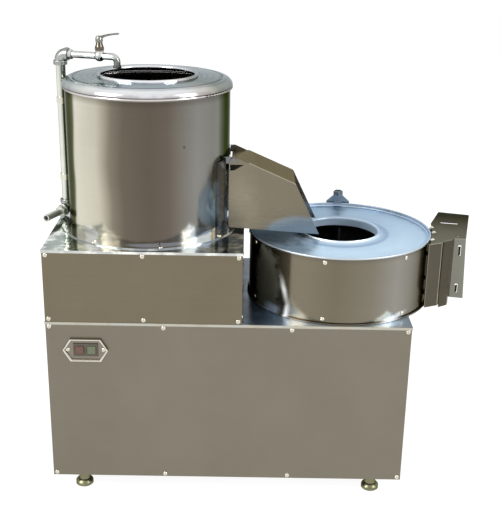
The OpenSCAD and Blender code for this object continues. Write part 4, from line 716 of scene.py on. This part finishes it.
# colour, roughness, how far its patches and its grain swing, and what differs from a plain sheet
finishes = {
    # warm grey sheet with a fine level grain, the cabinet's large panels
    "cabinetSheet": ("#807a6d", 0.36, 0.04, 0.03, {}),
    # the riser's panels, a little browner
    "riserSheet": ("#776f5d", 0.34, 0.04, 0.03, {}),
    # painted highlight along the outer edge of a fold
    "foldHighlight": ("#d3d2c8", 0.22, 0.1, 0.0, {"patch": 40.0}),
    # a softer painted highlight along the folds of the cabinet's own grey sheet
    "dullEdge": ("#a8a191", 0.25, 0.1, 0.0, {"patch": 40.0}),
    # polished drum with painted reflections of its surroundings in bands
    "drumSheet": ("#7c776b", 0.15, 0.03, 0.015, {"grain": (3, 3, 260), "bands": drumReflectionBands,
        "glints": drumGlints, "wave": 0.05, "edge": "#999a93"}),
    # ring that the drum stands on
    "ringSheet": ("#c9ccca", 0.14, 0.12, 0.02, {"patch": 16.0}),
    # spun lid of the drum, with painted rings of highlight, reflection and shade
    "lidShell": ("#c9ccca", 0.13, 0.05, 0.02, {"patch": 24.0, "bands": lidHighlightShadeBands,
        "glints": lidGlints, "wave": 0.16, "edge": "#c8cdd0"}),
    # polished top plates, with painted reflections pale at the left and blue-grey at the right, and
    # patches of painted bright reflection
    "riserTop": ("#8393a1", 0.12, 0.16, 0.03, {"patch": 22.0, "wave": 0.25, "bands": riserTopReflectionBands,
        "cloud": ("#f1f3ee", 0.8)}),
    # lower plate, darker and half dulled, with painted shade by the riser and faint patches of
    # painted reflection
    "deckTop": ("#34414f", 0.2, 0.12, 0.03, {"metallic": 0.65, "patch": 22.0, "wave": 0.15,
        "bands": deckShadeReflectionBands, "cloud": ("#8296ac", 0.2)}),
    # hood, brown-grey and glossy, with painted sheen and reflection on its cheek
    "hoodSheet": ("#7c7565", 0.26, 0.06, 0.006, {"grain": (6, 6, 120), "glints": hoodGlints,
        "edge": "#b5b09f"}),
    # frame and lugs beside the window, greyer
    "gateSheet": ("#77787a", 0.22, 0.05, 0.02, {}),
    # slicer's wall, with painted reflections, highlights and shade
    "slicerSheet": ("#7a7364", 0.18, 0.03, 0.02, {"grain": (3, 3, 400), "bands": slicerReflectionShadeBands,
        "glints": slicerGlints, "wave": 0.04, "edge": "#8a877e"}),
    # outlet's folded sheets, darker towards the back
    "guardSheet": ("#59544a", 0.34, 0.06, 0.03, {"bands": guardBands, "edge": "#8c877b"}),
    # the outlet's roof and flap, lighter and more mottled
    "coverSheet": ("#828278", 0.4, 0.08, 0.03, {"bands": guardBands, "edge": "#8c877b"}),
    # slicer's lid, pale blue satin
    "lidSheet": ("#a9bfd2", 0.36, 0.015, 0.005, {"patch": 5.0, "grain": (60, 60, 60),
        "bands": slicerLidHighlightShadeBands, "glints": slicerLidGlints, "wave": 0.02, "edge": "#c3d2df"}),
    # switch guard: its floor like the panel, a painted highlight on its rim
    "plateSheet": ("#857e72", 0.3, 0.05, 0.02, {"bands": plateRimHighlightBands}),
    # the lid clamp's post, bluish and handled
    "clampSheet": ("#98a4af", 0.25, 0.15, 0.02, {"patch": 40.0}),
    # inner stainless pieces, waste pan and spout
    "innerSheet": ("#aeb2b2", 0.25, 0.05, 0.03, {}),
    # rolled angle steel with mill scale
    "angleSteel": ("#55565a", 0.5, 0.15, 0.05, {"grain": (40, 40, 40)}),
    # zinc-plated screws, bolts and nuts
    "zincPlate": ("#d9d6c8", 0.22, 0.06, 0.0, {"patch": 60.0}),
    # plated feet, tinted olive as a painted reflection of green surroundings
    "footPlate": ("#7f7d62", 0.32, 0.2, 0.02, {"patch": 40.0, "edge": "#7f7d62"}),
    # bright turned shafts
    "turnedSteel": ("#b9babb", 0.18, 0.03, 0.05, {"grain": (2, 2, 1200)}),
    # cast aluminium with a soft skin
    "castAlloy": ("#54575a", 0.45, 0.08, 0.0, {"patch": 50.0, "wave": 0.2}),
    # ground knife steel
    "knifeSteel": ("#cfd2d4", 0.12, 0.02, 0.05, {"grain": (1200, 6, 6)}),
    # water pipe and its fittings, with painted light on its left side and painted shade on its
    # right
    "pipeSteel": ("#d3d5ca", 0.18, 0.06, 0.02, {"patch": 30.0, "bands": pipeLightShadeBands,
        "edge": "#9b9d90"}),
    # the hose tail, satin beside the polished pipe
    "tailSteel": ("#c3c6bf", 0.3, 0.1, 0.02, {"metallic": 0.6, "patch": 30.0, "edge": "#8b8d80"}),
    # elbows, greyer and patchy
    "fittingSteel": ("#a2a5a1", 0.25, 0.2, 0.0, {"patch": 50.0, "edge": "#8a8c88"}),
    # chromed tap, with painted shade under its arm and a painted highlight along it
    "tapChrome": ("#dcdedb", 0.14, 0.1, 0.0, {"patch": 60.0, "bands": tapShadeHighlightBands, "edge": "#7b7a75"}),
    # the lever, its chrome darker
    "leverChrome": ("#8b8a85", 0.2, 0.3, 0.0, {"patch": 70.0, "edge": "#8a8880"}),
    # dark chromed knob
    "knobMetal": ("#767d81", 0.3, 0.3, 0.0, {"patch": 70.0, "edge": "#767d81"}),
    # grey casting of the bearing housings and pulleys
    "castIron": ("#5b5e60", 0.55, 0.1, 0.0, {"patch": 60.0, "wave": 0.25}),
}


def mattFinish(name, colour, roughness, speckle, scale, depth, coat):
    # paint, rubber, plastic and grit: a colour with fine specks and a skin of its own
    material, shader = startMaterial(name, colour, 0.0, roughness)
    place = addNode(material, "ShaderNodeTexCoord").outputs["Object"]
    specks = noise(material, place, scale, Detail=4.0)
    level = carry(material, specks, noiseReach, (1 - speckle, 1 + speckle))
    toned = addNode(material, "ShaderNodeHueSaturation", {"Value": level, "Color": linear(colour)})
    link(material, toned.outputs[0], shader, "Base Color")
    skin = addNode(material, "ShaderNodeBump",
                   {"Height": specks, "Strength": depth, "Distance": 0.001})
    link(material, skin.outputs[0], shader, "Normal")
    shader.inputs["Coat Weight"].default_value = coat
    return material


# colour, roughness, how much and how finely it is speckled, depth of its skin, clear coat
mattFinishes = {
    # moulded switch block, greasy black gone brown
    "switchPlastic": ("#4c493f", 0.45, 0.06, 900.0, 0.05, 0.0),
    # the two buttons, faded green and rusty red with a little shine
    "greenPlastic": ("#5c6148", 0.35, 0.08, 700.0, 0.05, 0.3),
    "redPlastic": ("#5a3d30", 0.35, 0.08, 700.0, 0.05, 0.3),
    # flat black rubber
    "blackRubber": ("#1c1c1c", 0.7, 0.1, 500.0, 0.15, 0.0),
    # bonded grit on the drum's lining and the disc, its dark colour deepened to near black as
    # painted shade inside the drum
    "grit": ("#0c0c0e", 0.9, 0.45, 420.0, 0.9, 0.0),
    # hammered motor paint
    "motorPaint": ("#45617a", 0.35, 0.1, 180.0, 0.3, 0.4),
}
looks = {name: sheetMetal(name, *finish) for name, finish in finishes.items()}
for name, values in mattFinishes.items():
    looks[name] = mattFinish(name, *values)

nodeFinish = {
    "cabinetSheet": ["cabinet_front_panel", "cabinet_back_panel", "cabinet_side_panels"],
    "riserSheet": ["riser_front_panel", "riser_side_panels"],
    "drumSheet": ["drum_wall"],
    "ringSheet": ["drum_base_ring", "discharge_gate"],
    "lidShell": ["drum_lid"],
    "plateSheet": ["switch_plate"],
    "clampSheet": ["lid_clamp_post"],
    "riserTop": ["riser_top_plate"],
    "deckTop": ["deck_plate"],
    "hoodSheet": ["discharge_hood"],
    "gateSheet": ["hood_hinge", "gate_guides"],
    "slicerSheet": ["slicer_housing", "slicer_base_ring", "thickness_plate"],
    "guardSheet": ["outlet_guard"],
    "coverSheet": ["outlet_cover"],
    "lidSheet": ["slicer_lid"],
    "innerSheet": ["waste_pan", "drain_spout"],
    "angleSteel": ["frame_posts", "frame_rails", "base_tray", "motor_plate"],
    "zincPlate": ["panel_screws", "machine_bolts", "disc_nut", "knife_holder", "pipe_clips"],
    "footPlate": ["levelling_feet"],
    "turnedSteel": ["peeler_shaft", "slicer_shaft", "motor_shaft", "shaft_bearings"],
    "castAlloy": ["slicer_rotor"],
    "knifeSteel": ["knife_blade"],
    "pipeSteel": ["water_pipe"],
    "tailSteel": ["hose_tail"],
    "fittingSteel": ["pipe_elbows"],
    "tapChrome": ["tap_body"],
    "leverChrome": ["tap_lever"],
    "knobMetal": ["lid_clamp_knob"],
    "castIron": ["rotor_nut", "peeler_bearing_housing", "slicer_bearing_housing",
                 "peeler_pulley", "slicer_pulley", "motor_pulley"],
    "switchPlastic": ["switch_body"],
    "greenPlastic": ["start_button"],
    "redPlastic": ["stop_button"],
    "blackRubber": ["cable_gland", "drive_belts"],
    "grit": ["abrasive_lining", "peeling_disc"],
    "motorPaint": ["motor_body"],
}
for finishName, names in nodeFinish.items():
    for name in names:
        source = frame["nodes"][name]
        source.data.materials.clear()
        source.data.materials.append(looks[finishName])
print("finishes ready:", len(looks))

# ---- sheet parts with worked edges ----

# each node: radius of its cut edges in millimetres and, where its outer folds are worked too, their
# radius and the finish that they show, mostly a painted fold highlight; a piece has its node's
# name, written as one word
workedEdges = {
    "deck_plate": (0.35, 2.2, "foldHighlight"),
    "riser_top_plate": (0.3, 2.2, "foldHighlight"),
    "cabinet_front_panel": (0.3,),
    "cabinet_side_panels": (0.3, 1.6, "dullEdge"),
    "cabinet_back_panel": (0.3,),
    "riser_front_panel": (0.3, 1.6, "dullEdge"),
    "riser_side_panels": (0.3, 1.6, "dullEdge"),
    "discharge_hood": (0.4, 1.4, "dullEdge"),
    "hood_hinge": (0.5,),
    "gate_guides": (0.3,),
    "discharge_gate": (0.3,),
    "outlet_guard": (0.4, 1.2, "dullEdge"),
    "outlet_cover": (0.4, 1.2, "dullEdge"),
    "drum_base_ring": (0.8,),
    "slicer_base_ring": (1.0,),
    "switch_plate": (0.5,),
    "switch_body": (0.8,),
    "start_button": (1.1,),
    "stop_button": (1.1,),
    "lid_clamp_post": (0.8,),
    "lid_clamp_knob": (0.5,),
    "machine_bolts": (0.5,),
    "levelling_feet": (0.5,),
    "pipe_clips": (0.8,),
    "hose_tail": (0.4,),
    "tap_body": (0.5,),
    "cable_gland": (0.7,),
    "base_tray": (0.3, 1.4, "angleSteel"),
    "motor_plate": (0.8,),
}
for node, (rim, *worked) in workedEdges.items():
    fold, edgeName = worked or (0, None)
    own = frame["nodes"][node].data.materials[0]
    first, *others = node.split("_")
    name = "gateFrame" if node == "gate_guides" else first + "".join(map(str.capitalize, others))
    softenedCopy(node, name, [own, looks[edgeName]] if fold else [own], fold, rim)
print("edges worked:", len(workedEdges))

# ---- spun lids ----

# sizes in millimetres from the drum's axis, heights from the lid's foot; the groove's path is in
# shares of its width and depth, the lip's arc in degrees
drumLid = {"shoulderWide": 20, "shoulderHigh": 17, "arcSteps": 8, "groove": 2.0, "grooveWide": 3,
           "groovePath": [(0.35, 0.3), (0.7, 0.8), (1.0, 1.0), (1.35, 0.8), (1.7, 0.25), (2, 0)],
           "dish": 1.6, "dishSteps": 10, "mouth": 103, "lip": 4.5, "lipUp": 3.0,
           "lipFrom": -20, "lipSweep": 250, "lipSteps": 14, "wall": 1.6, "sides": 192, "smooth": 50}


def buildDrumLid():
    low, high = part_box("drum_lid")
    foot = inMillimetres(low.z)
    reach = inMillimetres((high.x - low.x) / 2)
    size = drumLid
    top = foot + size["shoulderHigh"]
    line = []
    for step in range(size["arcSteps"] + 1):
        turn = math.pi / 2 * step / size["arcSteps"]
        line.append((reach - size["shoulderWide"] * (1 - math.cos(turn)),
                     foot + size["shoulderHigh"] * math.sin(turn)))
    inner = reach - size["shoulderWide"]
    wide = size["grooveWide"]
    for part, fall in size["groovePath"]:
        line.append((inner - wide * part, top - size["groove"] * fall))
    outer = inner - wide * size["groovePath"][-1][0]
    lipAt = size["mouth"] + size["lip"]
    for step in range(1, size["dishSteps"]):
        share = step / size["dishSteps"]
        line.append((outer + (lipAt + size["lip"] - outer) * share,
                     top + size["dish"] * math.sin(math.pi / 2 * share)))
    centre = top + size["lipUp"]
    for step in range(size["lipSteps"] + 1):
        turn = math.radians(size["lipFrom"] + size["lipSweep"] * step / size["lipSteps"])
        line.append((lipAt + size["lip"] * math.cos(turn), centre + size["lip"] * math.sin(turn)))
    piece = spunShell("drumLidShell", line, middleOf("drum_lid"), size["wall"], size["sides"])
    finishPiece(piece, "drumLidShell", "machine", [looks["lidShell"]], ("drum_lid",),
                size["smooth"])


buildDrumLid()

# sizes in millimetres from the slicer's axis, heights from the lid's highest point; the rim's
# inner path is (inwards from the rim, above the lid's floor)
slicerLid = {"rim": 4.0, "rimHigh": 9.0, "rimCrown": 1.8, "rimFoot": 3.7,
             "rimPath": [(0.1, 3.0), (0.9, 0.9), (3.0, 0)], "collar": 114, "collarRise": 8.0,
             "feed": 87.5, "round": 5.0, "roundSteps": 5, "throat": 21.0, "wall": 1.6, "steps": 8,
             "sides": 192, "smooth": 50}


def buildSlicerLid():
    low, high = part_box("slicer_lid")
    top = inMillimetres(high.z)
    reach = inMillimetres((high.x - low.x) / 2)
    size = slicerLid
    floor = top - size["rimHigh"]
    crown = size["rimCrown"]
    line = [(reach, top - size["rimFoot"]), (reach, top - crown)]
    for step in range(1, size["steps"] + 1):
        turn = math.pi * step / size["steps"]
        line.append((reach - size["rim"] / 2 + size["rim"] / 2 * math.cos(turn),
                     top - crown + crown * math.sin(turn)))
    line += [(reach - size["rim"] - inwards, floor + up) for inwards, up in size["rimPath"]]
    throatWide = size["collar"] - size["feed"] - size["round"]
    for step in range(size["steps"] + 1):
        turn = math.pi / 2 * step / size["steps"]
        line.append((size["collar"] - throatWide * math.sin(turn),
                     floor + size["collarRise"] * (1 - math.cos(turn))))
    edge = floor + size["collarRise"]
    for step in range(1, size["roundSteps"] + 1):
        turn = math.pi / 2 * step / size["roundSteps"]
        line.append((size["feed"] + size["round"] * (1 - math.sin(turn)),
                     edge - size["round"] * (1 - math.cos(turn))))
    line.append((size["feed"], top - size["throat"]))
    piece = spunShell("slicerLidShell", line, middleOf("slicer_base_ring"), size["wall"],
                      size["sides"])
    finishPiece(piece, "slicerLidShell", "machine", [looks["lidSheet"]], ("slicer_lid",),
                size["smooth"])


buildSlicerLid()
print("lids spun")

# ---- screws ----

# pan-head screw with a cross recess, millimetres; edge is the share of its height that is
# upright, and each screw is turned a step further than the last, in radians
panScrew = {"head": 5.0, "high": 2.6, "edge": 0.25, "lift": 0.02, "crossLong": 2.6,
            "crossWide": 0.8, "crossDeep": 1.5, "steps": 6, "sides": 20, "smooth": 30, "step": 0.7}


def buildPanScrews():
    size = panScrew
    line = [(axisRadius, size["lift"]), (size["head"], size["lift"])]
    for step in range(size["steps"] + 1):
        turn = math.pi / 2 * step / size["steps"]
        line.append((size["head"] * math.cos(turn) + axisRadius,
                     size["high"] * (size["edge"] + (1 - size["edge"]) * math.sin(turn))))
    model = spunShell("panScrewHead", line, Vector((0, 0, 0)), 0, size["sides"])
    for turn in (0, 90):
        deselectAll()
        bpy.ops.mesh.primitive_cube_add(size=1, location=(0, 0, millimetres(size["high"])))
        cutter = bpy.context.object
        cutter.dimensions = (millimetres(2 * size["crossLong"]), millimetres(size["crossWide"]),
                             millimetres(2 * size["crossDeep"]))
        cutter.rotation_euler.z = math.radians(turn)
        applyPlace(cutter)
        combine(model, cutter, "DIFFERENCE")
    piece = placeCopies(model, screwSeats("panel_screws"), size["step"])
    finishPiece(piece, "panScrewHeads", "machine", [looks["zincPlate"]], ("panel_screws",),
                size["smooth"])


buildPanScrews()
print("screws set")

# ---- pipe elbows ----

# a drawn bend with a beaded collar on each leg, millimetres; a collar is its radius and where it
# starts and ends; a place is above the pipe's end, then degrees tipped over and turned
pipeElbow = {"tube": 12.6, "bend": 15.0, "sides": 48, "arcs": 12, "bore": 10.7, "boreFrom": 10.0,
             "boreTo": 40.0, "edge": 1.4, "edgeSteps": 3, "edgeTurn": 30, "smooth": 40,
             "collars": {"upper": (15.4, 14.0, 24.0), "side": (14.2, 13.0, 21.0)},
             "places": [(-10.0, 0, -112.0), (10.0, 180, -15.7)]}


def roundBar(radius, low, high, lying=False, edge=0.0):
    # a cylinder from one place to another along the upright leg, or along the side leg
    deselectAll()
    bpy.ops.mesh.primitive_cylinder_add(radius=millimetres(radius), depth=millimetres(high - low),
                                        vertices=pipeElbow["sides"])
    bar = bpy.context.object
    if edge:
        easeEdges(bar, edge, pipeElbow["edgeSteps"], pipeElbow["edgeTurn"])
    middle = millimetres((low + high) / 2)
    bar.location = (middle, 0, 0) if lying else (0, 0, middle)
    bar.rotation_euler.y = math.radians(90) if lying else 0
    applyPlace(bar)
    return bar


def buildPipeElbows():
    size = pipeElbow
    bend = millimetres(size["bend"])
    axis = middleOf("water_pipe")
    ends = [corner.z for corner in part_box("water_pipe")]
    elbows = []
    for end, (beyond, over, turn) in zip(ends, size["places"]):
        deselectAll()
        bpy.ops.mesh.primitive_circle_add(radius=millimetres(size["tube"]), vertices=size["sides"],
                                          location=(0, 0, bend))
        piece = bpy.context.object
        applyPlace(piece)
        bpy.ops.object.mode_set(mode="EDIT")
        bpy.ops.mesh.select_mode(type="EDGE")
        bpy.ops.mesh.select_all(action="SELECT")
        bpy.ops.mesh.spin(steps=size["arcs"], angle=math.radians(90), center=(bend, 0, bend),
                          axis=(0, 1, 0))
        bpy.ops.mesh.select_all(action="SELECT")
        bpy.ops.mesh.fill_holes(sides=0)
        bpy.ops.mesh.select_all(action="SELECT")
        bpy.ops.mesh.normals_make_consistent(inside=False)
        bpy.ops.object.mode_set(mode="OBJECT")
        combine(piece, roundBar(*size["collars"]["upper"], False, size["edge"]), "UNION")
        combine(piece, roundBar(*size["collars"]["side"], True, size["edge"]), "UNION")
        combine(piece, roundBar(size["bore"], size["boreFrom"], size["boreTo"]), "DIFFERENCE")
        piece.matrix_world = (Matrix.Translation((axis.x, axis.y, end + millimetres(beyond)))
                              @ Matrix.Rotation(math.radians(turn), 4, "Z")
                              @ Matrix.Rotation(math.radians(over), 4, "X"))
        elbows.append(piece)
    finishPiece(joined(elbows), "pipeBends", "machine", [looks["fittingSteel"]], ("pipe_elbows",),
                size["smooth"])


buildPipeElbows()
print("pipe elbows built")

# ---- tap lever ----

# hub and a bar that leaves its crown and levels out, millimetres; turn and swing in degrees;
# valve is the spindle's distance from the pipe, and along is (out, up, width, thickness)
tapHandle = {"high": 19, "hub": 8.0, "hubHigh": 9.0, "crown": 5.0, "crownHigh": 4.0, "steps": 32,
             "edge": 0.8, "edgeSteps": 3, "edgeTurn": 50, "smooth": 40, "seat": 3.3,
             "seatDeep": 11.9, "turn": -15.7, "valve": 95.9, "swing": 30,
             "along": [(1.0, 8.5, 8.6, 7.5), (6.5, 11.0, 7.6, 5.6), (13.0, 13.2, 6.4, 4.4),
                       (21.0, 15.0, 5.8, 3.6), (31.0, 16.3, 6.4, 3.2), (40.0, 17.0, 7.4, 3.2),
                       (44.2, 17.2, 5.6, 2.6)]}


def buildTapLever():
    size = tapHandle
    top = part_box("tap_lever")[1].z
    turn = math.radians(size["turn"])
    out = Vector((math.cos(turn), math.sin(turn), 0))
    seat = middleOf("water_pipe") + out * millimetres(size["valve"])
    foot = top - millimetres(size["high"])
    crownTop = size["hubHigh"] + size["crownHigh"]
    line = [(axisRadius, 0), (size["hub"], 0), (size["hub"], size["hubHigh"]),
            (size["crown"], crownTop), (axisRadius, crownTop)]
    hub = spunShell("tapHub", line, Vector((0, 0, 0)), 0, size["steps"])
    deselectAll()
    bpy.ops.mesh.primitive_plane_add(size=1, rotation=(0, math.radians(90), 0))
    bar = bpy.context.object
    start = size["along"][0]
    bar.scale = (millimetres(start[3]), millimetres(start[2]), 1)
    bar.location = (millimetres(start[0]), 0, millimetres(start[1]))
    applyPlace(bar)
    bpy.ops.object.mode_set(mode="EDIT")
    bpy.ops.mesh.select_mode(type="FACE")
    bpy.ops.mesh.select_all(action="SELECT")
    for here, there in zip(size["along"], size["along"][1:]):
        step = (millimetres(there[0] - here[0]), 0, millimetres(there[1] - here[1]))
        bpy.ops.mesh.extrude_region_move(TRANSFORM_OT_translate={"value": step})
        bpy.ops.transform.resize(value=(1, there[2] / here[2], there[3] / here[3]),
                                 center_override=(millimetres(there[0]), 0, millimetres(there[1])))
    bpy.ops.mesh.select_all(action="SELECT")
    bpy.ops.mesh.normals_make_consistent(inside=False)
    bpy.ops.object.mode_set(mode="OBJECT")
    easeEdges(bar, size["edge"], size["edgeSteps"], size["edgeTurn"])
    combine(hub, bar, "UNION")
    # the spindle's seat
    combine(hub, roundBar(size["seat"], -size["seatDeep"], size["seatDeep"]), "DIFFERENCE")
    hub.rotation_euler.z = math.radians(size["turn"] + size["swing"])
    hub.location = (seat.x, seat.y, foot)
    finishPiece(hub, "tapLever", "lever", [looks["leverChrome"]], ("tap_lever",), size["smooth"])


buildTapLever()
print("tap lever built")
